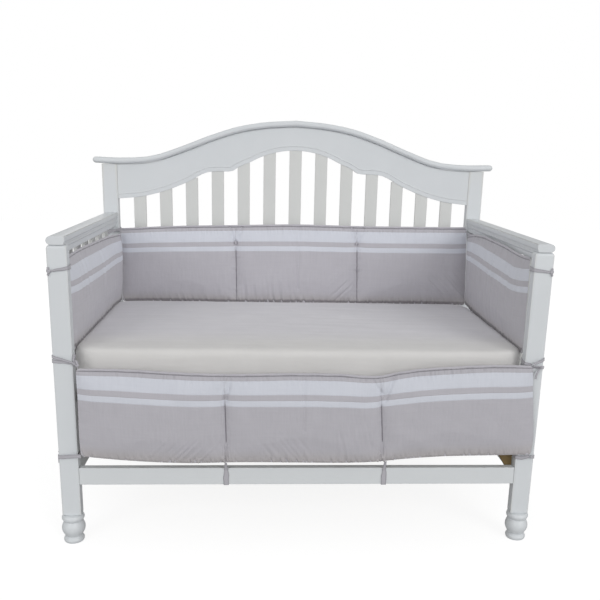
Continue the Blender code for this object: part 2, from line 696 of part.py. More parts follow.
# The front panel's corner tapes. A knot is given as (x, depth, height), with the depth from the front
# posts' front faces. Each strip has the way it faces, if it isn't upright, and its stops: a post's corner
# or a place (x, depth), then the tape's height and width there.
SEWN = FRONT_PAD_DEPTH
LOW_KNOT = (HALF_LENGTH + 0.0056, POST_DEPTH + 0.0034)
LOW_KNOT_LEFT = (-LOW_KNOT[0], LOW_KNOT[1])
FRONT_TAPES = (
    {"name": "tie_front_left_top", "side": -1, "knot": (-0.6430, -0.0090, 0.5590), "strips": (
        (None, (((-0.6430, -0.0105), 0.5600, 0.006), (FRONT_OUTER, 0.5715, 0.0145),
                (BACK_OUTER, 0.5700, 0.015), (BACK_INNER, 0.5670, 0.012),
                ((-0.6478, 0.0060), 0.5600, 0.012), ((-0.6425, -0.0070), 0.5590, 0.006))),
        (None, (((-0.6430, -0.0090), 0.5590, 0.006), ((-0.6322, SEWN), 0.5510, 0.009))),
        (FORWARDS, (((-0.6430, -0.0090), 0.5590, 0.005), ((-0.6350, -0.0125), 0.5650, 0.008),
                    ((-0.6300, -0.0150), 0.5590, 0.009))))},
    {"name": "tie_front_right_top", "side": 1, "knot": (0.6900, -0.0095, 0.5610), "strips": (
        (None, (((0.6690, SEWN), 0.5685, 0.010), ((0.6975, -0.0048), 0.5750, 0.014),
                (FRONT_OUTER, 0.5775, 0.0145), (BACK_OUTER, 0.5740, 0.015), (BACK_INNER, 0.5690, 0.015),
                (FRONT_INNER, 0.5680, 0.012), ((0.6880, -0.0075), 0.5620, 0.006))),
        (None, (((0.6900, -0.0095), 0.5610, 0.006), ((0.6690, SEWN), 0.5675, 0.006))),
        (FORWARDS, (((0.6900, -0.0095), 0.5610, 0.006), ((0.6850, -0.0115), 0.5450, 0.009),
                    ((0.6820, -0.0120), 0.5310, 0.010), ((0.6800, -0.0105), 0.5140, 0.011))))},
    {"name": "tie_left_low", "side": -1, "knot": (-0.6430, 0.0080, 0.5450), "strips": (
        (None, (((-0.6430, 0.0060), 0.5450, 0.006), (FRONT_INNER, 0.5510, 0.010),
                (FRONT_OUTER, 0.5505, 0.012), (BACK_OUTER, 0.5500, 0.014), (BACK_INNER, 0.5470, 0.014),
                ((-0.6430, 0.0100), 0.5450, 0.006))),)},
    {"name": "tie_right_low", "side": 1, "knot": (0.6425, 0.0080, 0.5550), "strips": (
        (None, (((0.6430, 0.0060), 0.5550, 0.006), (FRONT_INNER, 0.5575, 0.006),
                (FRONT_OUTER, 0.5540, 0.006), (BACK_OUTER, 0.5530, 0.012), (BACK_INNER, 0.5530, 0.012),
                ((0.6430, 0.0100), 0.5550, 0.006))),)},
    {"name": "tie_front_left_low", "side": -1, "knot": (*LOW_KNOT_LEFT, 0.2750), "strips": (
        (None, ((LOW_KNOT_LEFT, 0.2750, 0.006), (FRONT_OUTER, 0.2745, 0.0140),
                ((-0.6375, SEWN), 0.2840, 0.011))),
        (None, ((LOW_KNOT_LEFT, 0.2750, 0.006), (BACK_INNER, 0.2750, 0.015),
                ((-0.6480, 0.0010), 0.2770, 0.013), ((-0.6375, SEWN), 0.2840, 0.011))),
        (LEFTWARDS, ((LOW_KNOT_LEFT, 0.2750, 0.006), ((-0.7120, 0.0274), 0.2630, 0.010),
                     ((-0.7110, 0.0234), 0.2470, 0.012))))},
    {"name": "tie_front_right_low", "side": 1, "knot": (*LOW_KNOT, 0.2740), "strips": (
        (None, ((LOW_KNOT, 0.2740, 0.006), (FRONT_OUTER, 0.2740, 0.0120),
                ((0.6975, -0.0055), 0.2760, 0.012), ((0.6880, SEWN), 0.2820, 0.010))),
        (None, ((LOW_KNOT, 0.2740, 0.006), (BACK_INNER, 0.2730, 0.015), (FRONT_INNER, 0.2730, 0.012),
                ((0.6640, -0.0060), 0.2735, 0.012), ((0.6840, SEWN), 0.2820, 0.010))),
        (None, (((0.6840, SEWN), 0.2830, 0.008), ((0.6880, SEWN), 0.2830, 0.008))),
        (RIGHTWARDS, ((LOW_KNOT, 0.2740, 0.006), ((0.7120, 0.0274), 0.2620, 0.010),
                      ((0.7110, 0.0234), 0.2460, 0.012))))},
)


def make_rail_tape(name, x, sewn_height, material):
    """A tape from a channel's foot down around the low rail, knotted behind it."""
    front, back = RAIL_SET_BACK, RAIL_SET_BACK + RAIL_THICK
    knot_depth, knot_height = back + 0.0075, RAIL_BOTTOM + 0.036
    route = (
        (SEWN, sewn_height, 0.007),
        (SEWN + 0.0055, sewn_height - 0.0098, 0.008),
        (front - TAPE_LIFT, RAIL_TOP - 0.006, 0.011),
        (front - TAPE_LIFT, (RAIL_TOP + RAIL_BOTTOM) / 2, 0.0165),
        (front - TAPE_LIFT, RAIL_BOTTOM, TAPE_WIDTH),
        (front, RAIL_BOTTOM - TAPE_LIFT, TAPE_WIDTH),
        (back, RAIL_BOTTOM - TAPE_LIFT, TAPE_WIDTH),
        (back + TAPE_LIFT, RAIL_BOTTOM, TAPE_WIDTH),
        (back + TAPE_LIFT, RAIL_BOTTOM + 0.020, 0.011),
        (knot_depth, knot_height - 0.002, 0.007),
    )
    knot_at = (x, FRONT_Y + knot_depth, knot_height)
    hanging = (knot_at, (x + 0.006, knot_at[1] + 0.003, knot_height - 0.014),
               (x + 0.009, knot_at[1] + 0.002, knot_height - 0.030))
    band = ribbon([(x, FRONT_Y + depth, z) for depth, z, _ in route], [row[2] for row in route],
                  across=RIGHTWARDS)
    tail = ribbon(hanging, (TAPE_DRAWN, 0.010, TAPE_END), facing=BACKWARDS)
    return fuse(name, [knot(knot_at, KNOT_RADIUS), band, tail], material)


# Around the front posts: the tape's height at the inner and at the outer corner.
SIDE_TAPES = (
    ("tie_left_top", -1, 0.8290, 0.8205),
    ("tie_right_top", 1, 0.8420, 0.8370),
)
# Around the back posts: where the tape is sewn on, where it is knotted, and its height.
BACK_TAPES = (
    ("tie_back_left", -1, -0.6418, -0.6650, 0.8515),
    ("tie_back_right", 1, 0.6518, 0.6620, 0.8590),
)
# Around the low rail: place along it, and the height at which the tape leaves the panel.
RAIL_TAPES = (
    ("tie_seam_left", -0.2200, 0.2628),
    ("tie_seam_right", 0.2515, 0.2673),
)


def make_tapes(material):
    for name, side, inner_height, outer_height in SIDE_TAPES:
        make_side_tape(name, side, inner_height, outer_height, material)
    for name, side, sewn_x, knot_x, height in BACK_TAPES:
        make_back_tape(name, side, sewn_x, knot_x, height, material)
    for tape in FRONT_TAPES:
        make_post_tape(tape["name"], tape["side"], FRONT_Y, tape["knot"], tape["strips"], material)
    for name, x, sewn_height in RAIL_TAPES:
        make_rail_tape(name, x, sewn_height, material)


# ---------------------------------------------------------------- the whole

def build():
    for item in list(bpy.data.objects):
        bpy.data.objects.remove(item, do_unlink=True)
    finish = {name: make_material(name) for name in FINISHES}
    paint = finish["painted_wood"]

    side_post_top = SIDE_TOP - SIDE_CAP_THICK - JOIN_GAP
    back_post_top = float(min(cap_underside(np.linspace(INNER_X, HALF_LENGTH, 12)))) - 2 * JOIN_GAP
    for word, side in (("left", -1), ("right", 1)):
        make_post(f"post_front_{word}", side * POST_X, FRONT_Y, side_post_top, SHOULDER_ROUND, paint)
        make_post(f"post_back_{word}", side * POST_X, BACK_Y, back_post_top, 0.0, paint)
        make_side(f"side_{word}", side, paint)
    make_head_cap(paint)
    make_head_board(paint)
    make_head_slats(paint)
    make_low_rail("front_low_rail", FRONT_Y + RAIL_SET_BACK, paint)
    make_low_rail("head_low_rail", BACK_Y + RAIL_SET_BACK, paint)
    make_base(finish["raw_wood"])
    make_corner_block(finish["raw_wood"])
    make_mattress(finish["sheet_cloth"])
    make_panels(finish["panel_cloth"])
    make_tapes(finish["tape_cloth"])


build()
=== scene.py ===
# %% [markdown]
# # A crib bumper on its crib
#
# Four padded panels stand around a mattress, and cloth tapes tie them to the crib. The panels are the
# lesson here: each is two layers of woven cotton, sewn together around the edge and along its channels,
# with a flat filling between. The crib and the mattress are what they are fitted to.
#
# This file dresses a finished solid model. Each step says what the piece is on the real object, how it
# could be made, and why one way was chosen.

import math

import bmesh
import bpy
import numpy as np
from mathutils import Matrix, Vector
from mathutils.bvhtree import BVHTree


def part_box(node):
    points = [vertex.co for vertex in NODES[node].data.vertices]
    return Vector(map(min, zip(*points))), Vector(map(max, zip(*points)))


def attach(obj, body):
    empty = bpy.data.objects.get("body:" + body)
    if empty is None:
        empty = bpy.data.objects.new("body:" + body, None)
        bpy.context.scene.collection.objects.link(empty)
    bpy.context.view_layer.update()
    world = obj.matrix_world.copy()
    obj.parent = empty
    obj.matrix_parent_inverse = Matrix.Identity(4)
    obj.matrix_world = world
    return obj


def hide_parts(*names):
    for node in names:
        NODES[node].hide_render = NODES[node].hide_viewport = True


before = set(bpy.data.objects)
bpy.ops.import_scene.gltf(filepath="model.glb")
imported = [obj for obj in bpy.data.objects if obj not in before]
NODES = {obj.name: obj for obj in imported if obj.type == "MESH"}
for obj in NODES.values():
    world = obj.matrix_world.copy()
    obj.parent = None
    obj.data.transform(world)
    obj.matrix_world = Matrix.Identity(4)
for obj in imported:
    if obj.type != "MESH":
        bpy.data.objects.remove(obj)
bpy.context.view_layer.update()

# %% [markdown]
# ## Sizes that everything hangs on
#
# Most sizes are read from the solids, so that a piece can't drift from what carries it. The side caps
# start level with the front posts' front faces, which gives the plane that all depths are counted from.

# %% Planes and sizes
FRONT_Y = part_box("side_left_cap")[0].y
BACK_Y = FRONT_Y + 0.760
HALF_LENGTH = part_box("side_right_cap")[1].x
POST_WIDTH = 0.0545
POST_DEPTH = 0.032
POST_X = HALF_LENGTH - POST_WIDTH / 2
INNER_X = HALF_LENGTH - POST_WIDTH
RAIL_BOTTOM, RAIL_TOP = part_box("front_low_rail")[0].z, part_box("front_low_rail")[1].z
MATTRESS_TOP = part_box("mattress")[1].z
print("front plane", round(FRONT_Y, 4), "back plane", round(BACK_Y, 4))
print("mattress top", round(MATTRESS_TOP, 4))

# %% [markdown]
# ## The camera
#
# The picture was taken standing in front of the crib, a little left of its middle, looking down on it.
# A camera can be placed by eye, or fitted to measured corners. This one was fitted, and its small shift
# keeps the picture's framing.

# %% Camera
EYE = Vector((-0.1154, FRONT_Y - 2.0461, 1.1623))
YAW, PITCH, ROLL = 3.4666, 14.2566, 1.3601

scene = bpy.context.scene


def linked(name, data):
    """A new object in the scene."""
    item = bpy.data.objects.new(name, data)
    scene.collection.objects.link(item)
    return item


view = bpy.data.cameras.new("camera")
view.sensor_width = 36.0
view.lens = 44.6387
view.shift_x = -0.010631
view.shift_y = 0.061479
camera = linked("camera", view)
level = Matrix.Rotation(math.radians(-YAW), 4, "Z") @ Matrix.Rotation(math.radians(90 - PITCH), 4, "X")
camera.matrix_world = Matrix.Translation(EYE) @ level @ Matrix.Rotation(math.radians(ROLL), 4, "Z")
bpy.context.scene.camera = camera
print("camera at", tuple(round(value, 3) for value in EYE))

# %% [markdown]
# ## Nodes, written short
#
# Materials and Geometry Nodes are both node trees. One small class makes a node from its type, its
# settings and the values of its sockets. A second one wraps a socket, so that shader maths can be
# written as sums, and each sign adds its Math node.


# %% Node trees and shader maths
class Wire:
    """A socket of a node tree. The arithmetic signs add Math nodes."""

    def __init__(self, maker, socket):
        self.maker = maker
        self.socket = socket

    def math(self, operation, first, second=0.0):
        return self.maker.node("ShaderNodeMath", {"operation": operation}, {0: first, 1: second})

    def __add__(self, other):
        return self.math("ADD", self, other)

    def __sub__(self, other):
        return self.math("SUBTRACT", self, other)

    def __mul__(self, other):
        return self.math("MULTIPLY", self, other)

    def __rsub__(self, other):
        return self.math("SUBTRACT", other, self)

    __radd__ = __add__
    __rmul__ = __mul__

    def absolute(self):
        return self.math("ABSOLUTE", self)

    def at_least(self, low):
        return self.math("MAXIMUM", self, low)


class Maker:
    """Adds nodes to one tree."""

    def __init__(self, tree):
        self.tree = tree

    def node(self, kind, settings=None, values=None, out=0):
        made = self.tree.nodes.new(kind)
        for name, value in (settings or {}).items():
            if name == "stops":
                ramp = made.color_ramp
                while len(ramp.elements) < len(value):
                    ramp.elements.new(0.5)
                for element, (place, colour) in zip(ramp.elements, value):
                    element.position = place
                    element.color = (*colour, 1.0)
            else:
                setattr(made, name, value)
        for name, value in (values or {}).items():
            if isinstance(value, Wire):
                self.tree.links.new(value.socket, made.inputs[name])
            else:
                made.inputs[name].default_value = value
        return Wire(self, made.outputs[out])


class Finish(Maker):
    """A material with its Principled shader. What is the same all over is set on the shader itself."""

    def __init__(self, name, **constants):
        self.material = bpy.data.materials.new(name)
        self.material.use_nodes = True
        super().__init__(self.material.node_tree)
        self.shader = self.tree.nodes["Principled BSDF"]
        for label, value in constants.items():
            self.shader.inputs[label.replace("_", " ").title()].default_value = value

    def set(self, label, wire):
        self.tree.links.new(wire.socket, self.shader.inputs[label])

    def place(self, attribute=None):
        """Where a point is: in the object, or in the cloth's own measure from a point attribute."""
        if attribute:
            return self.node("ShaderNodeAttribute", {"attribute_name": attribute}, out="Vector")
        return self.node("ShaderNodeTexCoord", out="Object")

    def parts(self, vector):
        split = self.node("ShaderNodeSeparateXYZ", values={0: vector})
        return [Wire(self, output) for output in split.socket.node.outputs]

    def noise(self, vector, scale, detail=3.0, roughness=0.5, stretch=(1, 1, 1)):
        moved = self.node("ShaderNodeMapping", values={"Vector": vector, "Scale": stretch})
        sizes = {"Vector": moved, "Scale": scale, "Detail": detail, "Roughness": roughness}
        return self.node("ShaderNodeTexNoise", values=sizes)

    def mix(self, share, first, second):
        values = {0: share, 6: first, 7: second}
        return self.node("ShaderNodeMix", {"data_type": "RGBA"}, values, out=2)

    def step(self, value, low, high, start=0.0, end=1.0):
        """Rises smoothly from start at low to end at high."""
        values = {"Value": value, "From Min": low, "From Max": high, "To Min": start, "To Max": end}
        return self.node("ShaderNodeMapRange", {"interpolation_type": "SMOOTHSTEP"}, values)

    def bump(self, height, distance, strength=1.0):
        values = {"Height": height, "Distance": distance, "Strength": strength}
        self.set("Normal", self.node("ShaderNodeBump", values=values))


def colour(red, green, blue):
    """A colour socket's value."""
    return (red, green, blue, 1.0)


print("node helpers ready")

# %% [markdown]
# ## Floor and light
#
# The object stands on a plain pale floor in soft studio light. White surroundings light it evenly, and two
# wide lamps in front of it, the right one stronger, give the cloth its shape. A low one behind it lights
# the rails' edges and its back. To the camera the surroundings are plain white and the floor glows a
# little, while the pieces get less light from both, so that white cloth keeps its threads. Narrow lamps
# would draw hard shadows that the picture doesn't have.

# %% Floor, surroundings and lamps
WHITE = colour(1, 1, 1)
SKY_LIGHT = 0.53
FLOOR_GREY = 0.55
FLOOR_GLOW = 1.68            # how bright the camera sees it, and the share of that
GLOW_SHARE = 0.5
FLOOR_REACH = 9.0
FLOOR_HEIGHT = -0.0005       # just under the feet
LAMP_WIDTH = 30
LAMPS = (                    # turn and height above level in degrees, and strength
    ("right_lamp", 32, 22, 0.90),
    ("left_lamp", -32, 22, 0.60),
    ("back_lamp", 180, 13, 0.20),
)

scene.view_settings.view_transform = "Standard"

world = bpy.data.worlds.new("surroundings")
world.use_nodes = True
sky = Maker(world.node_tree)
lighting = sky.node("ShaderNodeBackground", values={"Color": WHITE, "Strength": SKY_LIGHT})
seen = sky.node("ShaderNodeBackground", values={"Color": WHITE, "Strength": 1.0})
to_camera = sky.node("ShaderNodeLightPath", out="Is Camera Ray")
both = sky.node("ShaderNodeMixShader", values={0: to_camera, 1: lighting, 2: seen})
sky.tree.links.new(both.socket, sky.tree.nodes["World Output"].inputs["Surface"])
scene.world = world

paper = Finish("pale_floor", roughness=0.9)
paper.shader.inputs["Base Color"].default_value = colour(FLOOR_GREY, FLOOR_GREY, FLOOR_GREY)
glow = paper.node("ShaderNodeEmission", values={"Color": WHITE, "Strength": FLOOR_GLOW})
to_camera = paper.node("ShaderNodeLightPath", out="Is Camera Ray")
lit = Wire(paper, paper.shader.outputs[0])
pale = paper.node("ShaderNodeMixShader", values={0: to_camera * GLOW_SHARE, 1: lit, 2: glow})
paper.tree.links.new(pale.socket, paper.tree.nodes["Material Output"].inputs["Surface"])
floor_mesh = bpy.data.meshes.new("floor")
corners = [(x * FLOOR_REACH, y * FLOOR_REACH, FLOOR_HEIGHT) for x, y in ((-1, -1), (1, -1), (1, 1), (-1, 1))]
floor_mesh.from_pydata(corners, [], [(0, 1, 2, 3)])
floor_mesh.materials.append(paper.material)
floor = linked("floor", floor_mesh)

for name, turn, height, strength in LAMPS:
    lamp = bpy.data.lights.new(name, "SUN")
    lamp.angle = math.radians(LAMP_WIDTH)
    lamp.energy = strength
    turned = Matrix.Rotation(math.radians(turn), 4, "Z")
    linked(name, lamp).matrix_world = turned @ Matrix.Rotation(math.radians(90 - height), 4, "X")
print("floor and", len(LAMPS), "lamps placed")

# %% [markdown]
# ## Painted wood
#
# The crib is wood under cool off-white satin paint. Real paint isn't one colour: it is a little thinner
# on edges, a little yellow where it has aged, and brush marks run along the piece. A photograph of paint
# could be wrapped round it, but noise in the object's own space needs no seams and fits every piece.

# %% Painted wood
paint = Finish("painted_wood", coat_weight=0.12, coat_roughness=0.3)
wood_place = paint.place()
patches = paint.noise(wood_place, 9.0, 4.0, 0.6)
brushing = paint.noise(wood_place, 60.0, 3.0, 0.6, (1, 1, 0.08))
edges = paint.node("ShaderNodeNewGeometry", out="Pointiness")
wear_and_painted_shade = paint.step(edges, 0.53, 0.60)
clean = paint.mix(patches, colour(0.666, 0.696, 0.718), colour(0.718, 0.742, 0.762))
aged = paint.mix(wear_and_painted_shade * 0.35, clean, colour(0.660, 0.640, 0.560))
paint.set("Base Color", aged)
paint.set("Roughness", brushing * 0.16 + 0.34)
paint.bump(brushing + patches * 0.5, 0.0003, 0.35)

bare = Finish("raw_wood", roughness=0.75)
grain_place = bare.place()
rings = bare.noise(grain_place, 30.0, 4.0, 0.6, (0.15, 1, 1))
bare.set("Base Color", bare.mix(rings, colour(0.115, 0.075, 0.026), colour(0.220, 0.155, 0.060)))
bare.bump(rings, 0.0006, 0.6)
print("paint and bare wood mixed")

# %% [markdown]
# ## Turning meshes into pieces
#
# Every piece ends the same way: its faces point outwards, it gets one material and smooth faces with
# sharp edges kept, and it rides on the crib, which is one rigid body.

# %% From points to a piece
def outwards(shape):
    """Turns the faces of a closed shape outwards. A thin one can come out inside out, so its volume tells."""
    bmesh.ops.recalc_face_normals(shape, faces=shape.faces)
    if shape.calc_volume(signed=True) < 0:
        bmesh.ops.reverse_faces(shape, faces=shape.faces)


def reworked(source, mesh, *steps):
    """Takes the points and faces of a source through some steps and into a mesh."""
    shape = bmesh.new()
    shape.from_mesh(source)
    for step in steps:
        step(shape)
    shape.to_mesh(mesh)
    shape.free()


def smooth(mesh, sharp_angle):
    """Smooth faces, except across edges that are sharper than an angle in degrees."""
    mesh.shade_smooth()
    mesh.set_sharp_from_angle(angle=math.radians(sharp_angle))


def as_piece(name, points, faces, finish, sharp_angle=40):
    mesh = bpy.data.meshes.new(name)
    mesh.from_pydata([tuple(point) for point in points], [], faces)
    reworked(mesh, mesh, outwards)
    mesh.materials.append(finish.material)
    smooth(mesh, sharp_angle)
    return linked(name, mesh)


def fit(piece, slot, *nodes):
    """The piece rides on the crib and stands for the nodes that it replaces, which are hidden. slot is not
    used.
    """
    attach(piece, "root")
    if nodes:
        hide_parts(*nodes)
    print(f"{piece.name}: {len(piece.data.vertices)} points")
    return piece


def lofted(rings, closed=True):
    """Points and faces of a skin through rings with equal numbers of points, closed at both ends."""
    count = len(rings[0])
    points = [point for ring in rings for point in ring]
    faces = []
    for level in range(len(rings) - 1):
        for i in range(count):
            j = (i + 1) % count
            low, high = level * count, (level + 1) * count
            faces.append((low + i, low + j, high + j, high + i))
    if closed:
        faces.append(tuple(range(count)))
        faces.append(tuple(range((len(rings) - 1) * count, len(rings) * count)))
    return points, faces


def whole_faces(shape):
    """Merges a solid's loose triangles back into whole faces."""
    bmesh.ops.remove_doubles(shape, verts=shape.verts, dist=1e-5)
    bmesh.ops.dissolve_limit(shape, angle_limit=math.radians(1), verts=shape.verts, edges=shape.edges)


def softened(name, node, finish, width=0.0015, segments=3):
    """A copy of a solid with its edges rounded, as sandpaper leaves them."""
    mesh = bpy.data.meshes.new(name)
    reworked(NODES[node].data, mesh, whole_faces, outwards)
    mesh.materials.clear()
    mesh.materials.append(finish.material)
    smooth(mesh, 50)
    piece = linked(name, mesh)
    rounding = piece.modifiers.new("rounded_edges", "BEVEL")
    rounding.width = width
    rounding.segments = segments
    rounding.limit_method = "ANGLE"
    rounding.angle_limit = math.radians(30)
    rounding.harden_normals = True
    return piece


def surface(item):
    """The faces of an object, ready for rays."""
    return BVHTree.FromPolygons([point.co for point in item.data.vertices],
                                [face.vertices[:] for face in item.data.polygons])


def evaluated(item):
    """What an object's modifiers make of it, as a plain mesh."""
    return bpy.data.meshes.new_from_object(item.evaluated_get(bpy.context.evaluated_depsgraph_get()))


def settle(piece):
    """Gives a piece the mesh that its modifiers make, and takes them off."""
    mesh = evaluated(piece)
    piece.modifiers.clear()
    piece.data = mesh
    return mesh


print("piece helpers ready")

# %% [markdown]
# ## Posts on turned feet
#
# Each post is a flat length of timber on a foot turned on a lathe: a disc, a ball and a bead. A spin
# round an axis would make the foot, but the post above it is square, so one skin of rings does both: the
# rings are round below and become rounded rectangles above.

# %% Posts
def table(columns, *rows):
    """Rows with named columns."""
    return [dict(zip(columns.split(), row)) for row in rows]


FOOT_TOP = 0.0885
FOOT = table(
    "low high radius_low radius_high radius_middle steps",
    (0.0000, 0.0180, 0.0275, 0.0232, 0.0298, 9),
    (0.0180, 0.0660, 0.0232, 0.0268, 0.0341, 18),
    (0.0660, 0.0850, 0.0268, 0.0300, 0.0328, 8),
    (0.0850, FOOT_TOP, 0.0300, 0.0155, 0.0270, 6),
)
FOOT_EASE_IN, FOOT_EASE_UP = 0.0020, 0.0006      # the rounded edge on the floor
RING_POINTS = 64
EDGE_ROUND = 0.0018


def round_ring(x, y, z, radius):
    turns = [2 * math.pi * i / RING_POINTS for i in range(RING_POINTS)]
    return [(x + radius * math.cos(a), y + radius * math.sin(a), z) for a in turns]


def square_ring(x, y, z, inset=0.0):
    """A rectangle with rounded corners, its points at about the angles of a round ring."""
    half_x, half_y = POST_WIDTH / 2 - inset, POST_DEPTH / 2 - inset
    ring = []
    for i in range(RING_POINTS):
        angle = 2 * math.pi * i / RING_POINTS
        across, along = math.cos(angle), math.sin(angle)
        reach = 1 / max(abs(across) / POST_WIDTH * 2, abs(along) / POST_DEPTH * 2)
        px, py = across * reach, along * reach
        over_x, over_y = abs(px) - (half_x - EDGE_ROUND), abs(py) - (half_y - EDGE_ROUND)
        if over_x > 0 and over_y > 0:
            length = math.hypot(over_x, over_y)
            px = math.copysign(half_x - EDGE_ROUND + over_x / length * EDGE_ROUND, px)
            py = math.copysign(half_y - EDGE_ROUND + over_y / length * EDGE_ROUND, py)
        else:
            px, py = max(-half_x, min(half_x, px)), max(-half_y, min(half_y, py))
        ring.append((x + px, y + py, z))
    return ring


def distinct(rings):
    """Rings without those that repeat the one before, which would leave faces without area."""
    return [ring for i, ring in enumerate(rings) if i == 0 or not np.allclose(ring, rings[i - 1], atol=1e-6)]


def make_post(name, side, front, shoulder):
    """A post on its foot. side is -1 or 1, front its front face and shoulder how far its top is rounded."""
    x, y = side * POST_X, front + POST_DEPTH / 2
    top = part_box(name)[1].z
    rings = [round_ring(x, y, 0.0, FOOT[0]["radius_low"] - FOOT_EASE_IN)]
    for part in FOOT:
        low, rise = part["low"], part["high"] - part["low"]
        narrow, spread = part["radius_low"], part["radius_high"] - part["radius_low"]
        swell = part["radius_middle"] - (part["radius_low"] + part["radius_high"]) / 2
        for step in range(part["steps"] + 1):
            t = step / part["steps"]
            radius = narrow + spread * t + swell * math.sin(math.pi * t)
            lift = FOOT_EASE_UP if low == 0.0 and step == 0 else 0.0
            rings.append(round_ring(x, y, low + rise * t + lift, radius))
    rings.append(square_ring(x, y, FOOT_TOP))
    for height in np.linspace(FOOT_TOP + 0.01, top - shoulder, 8):
        rings.append(square_ring(x, y, height))
    for degrees in (20, 40, 60, 75, 90) if shoulder else ():
        turn = math.radians(degrees)
        inset = shoulder * (1 - math.cos(turn))
        rings.append(square_ring(x, y, top - shoulder * (1 - math.sin(turn)), inset))
    points, faces = lofted(distinct(rings))
    return fit(as_piece(name + "_turned", points, faces, paint, 35), "painted_wood", name)


for word, side in (("left", -1), ("right", 1)):
    make_post(f"post_front_{word}", side, FRONT_Y, 0.009)
    make_post(f"post_back_{word}", side, BACK_Y, 0.0)

# %% [markdown]
# ## Rails, caps and boards
#
# These are straight timber. The solids already have their shapes, but no real edge is perfectly sharp, so
# each is copied, its triangles are merged back into whole faces, and a Bevel rounds its edges.

# %% Rails and boards
EASED = {
    "front_low_rail": 0.0018, "head_low_rail": 0.0018, "head_board": 0.0012,
    "side_left_cap": 0.0012, "side_right_cap": 0.0012, "side_left_rail": 0.0010, "side_right_rail": 0.0010,
    "side_left_low_rail": 0.0018, "side_right_low_rail": 0.0018,
}
for node, width in EASED.items():
    fit(softened(node + "_eased", node, paint, width), "painted_wood", node)
for node in ("mattress_base", "corner_block"):
    fit(softened(node + "_sawn", node, bare, 0.0008, 2), "raw_wood", node)
fit(softened("head_cap_eased", "head_cap", paint, 0.0006, 2), "painted_wood", "head_cap")

# %% [markdown]
# ## The slats
#
# The head has thirteen slats and each side six, all cut from one planed strip with rounded edges, and let
# into the board or rail above them. That is a rule: a row of points, and one strip at each, as long as
# the room above it. Geometry Nodes follow it: a ray from each point finds what is above.


# %% A tree of nodes with named inputs
class Rule(Maker):
    """A Geometry Nodes tree. inputs are (name, socket type, value)."""

    def __init__(self, name, inputs):
        super().__init__(bpy.data.node_groups.new(name, "GeometryNodeTree"))
        face = self.tree.interface
        face.new_socket("Geometry", in_out="OUTPUT", socket_type="NodeSocketGeometry")
        for label, kind, value in inputs:
            socket = face.new_socket(label, in_out="INPUT", socket_type=kind)
            if value is not None:
                socket.default_value = value
        self.entry = self.tree.nodes.new("NodeGroupInput")

    def input(self, label):
        return Wire(self, self.entry.outputs[label])

    def close(self, geometry, finish):
        real = self.node("GeometryNodeRealizeInstances", values={0: geometry})
        shown = self.node("GeometryNodeSetMaterial", values={"Geometry": real, "Material": finish.material})
        end = self.tree.nodes.new("NodeGroupOutput")
        self.tree.links.new(shown.socket, end.inputs[0])

    def shape_of(self, label):
        """The geometry of the object that an input names."""
        return self.node("GeometryNodeObjectInfo", {"transform_space": "RELATIVE"},
                         {"Object": self.input(label)}, out="Geometry")

    def path_of(self, label):
        """A curve along the edges of the object that an input names."""
        return self.node("GeometryNodeMeshToCurve", values={"Mesh": self.shape_of(label)})

    def make(self, name, **values):
        """Runs the rule with these inputs and keeps its result as a plain mesh."""
        host = linked(name + "_host", bpy.data.meshes.new(name + "_host"))
        rule = host.modifiers.new("rule", "NODES")
        rule.node_group = self.tree
        for item in self.tree.interface.items_tree:
            if item.in_out == "INPUT" and item.name in values:
                rule[item.identifier] = values[item.name]
        bpy.context.view_layer.update()
        mesh = evaluated(host)
        bpy.data.objects.remove(host, do_unlink=True)
        mesh.name = name
        reworked(mesh, mesh, outwards)
        smooth(mesh, 45)
        return linked(name, mesh)


# %% The rule for a row of slats
SLAT_LET_IN = 0.008
slat_rule = Rule("slat_row", [
    ("Count", "NodeSocketInt", 6), ("First", "NodeSocketVector", None), ("Step", "NodeSocketVector", None),
    ("Width", "NodeSocketFloat", 0.045), ("Thick", "NodeSocketFloat", 0.012),
    ("Round", "NodeSocketFloat", 0.002), ("Turn", "NodeSocketFloat", 0.0),
    ("Above", "NodeSocketObject", None), ("Let In", "NodeSocketFloat", SLAT_LET_IN)])
row = slat_rule.node("GeometryNodeMeshLine", {"mode": "OFFSET"}, {
    "Count": slat_rule.input("Count"), "Start Location": slat_rule.input("First"),
    "Offset": slat_rule.input("Step")})
ray = slat_rule.node("GeometryNodeRaycast", {"data_type": "FLOAT"}, {
    "Target Geometry": slat_rule.shape_of("Above"), "Ray Direction": (0, 0, 1), "Ray Length": 3.0},
    out="Hit Distance")
strip = slat_rule.node("GeometryNodeCurvePrimitiveQuadrilateral", {"mode": "RECTANGLE"},
                       {"Width": slat_rule.input("Width"), "Height": slat_rule.input("Thick")})
strip = slat_rule.node("GeometryNodeFilletCurve", {"mode": "POLY"}, {
    "Curve": strip, "Count": 4, "Radius": slat_rule.input("Round")})
rise = slat_rule.node("GeometryNodeCurvePrimitiveLine", {"mode": "POINTS"},
                      {"Start": (0, 0, 0), "End": (0, 0, 1)})
slat = slat_rule.node("GeometryNodeCurveToMesh",
                      values={"Curve": rise, "Profile Curve": strip, "Fill Caps": True})
spin = slat_rule.node("ShaderNodeCombineXYZ", values={2: slat_rule.input("Turn")})
size = slat_rule.node("ShaderNodeCombineXYZ", values={0: 1.0, 1: 1.0, 2: ray + slat_rule.input("Let In")})
slats = slat_rule.node("GeometryNodeInstanceOnPoints", values={
    "Points": row, "Instance": slat, "Rotation": spin, "Scale": size})
slat_rule.close(slats, paint)
print("slat rule has", len(slat_rule.tree.nodes), "nodes")

# %% Head slats and side slats
HEAD_SLATS = 13
SIDE_SLATS = 6


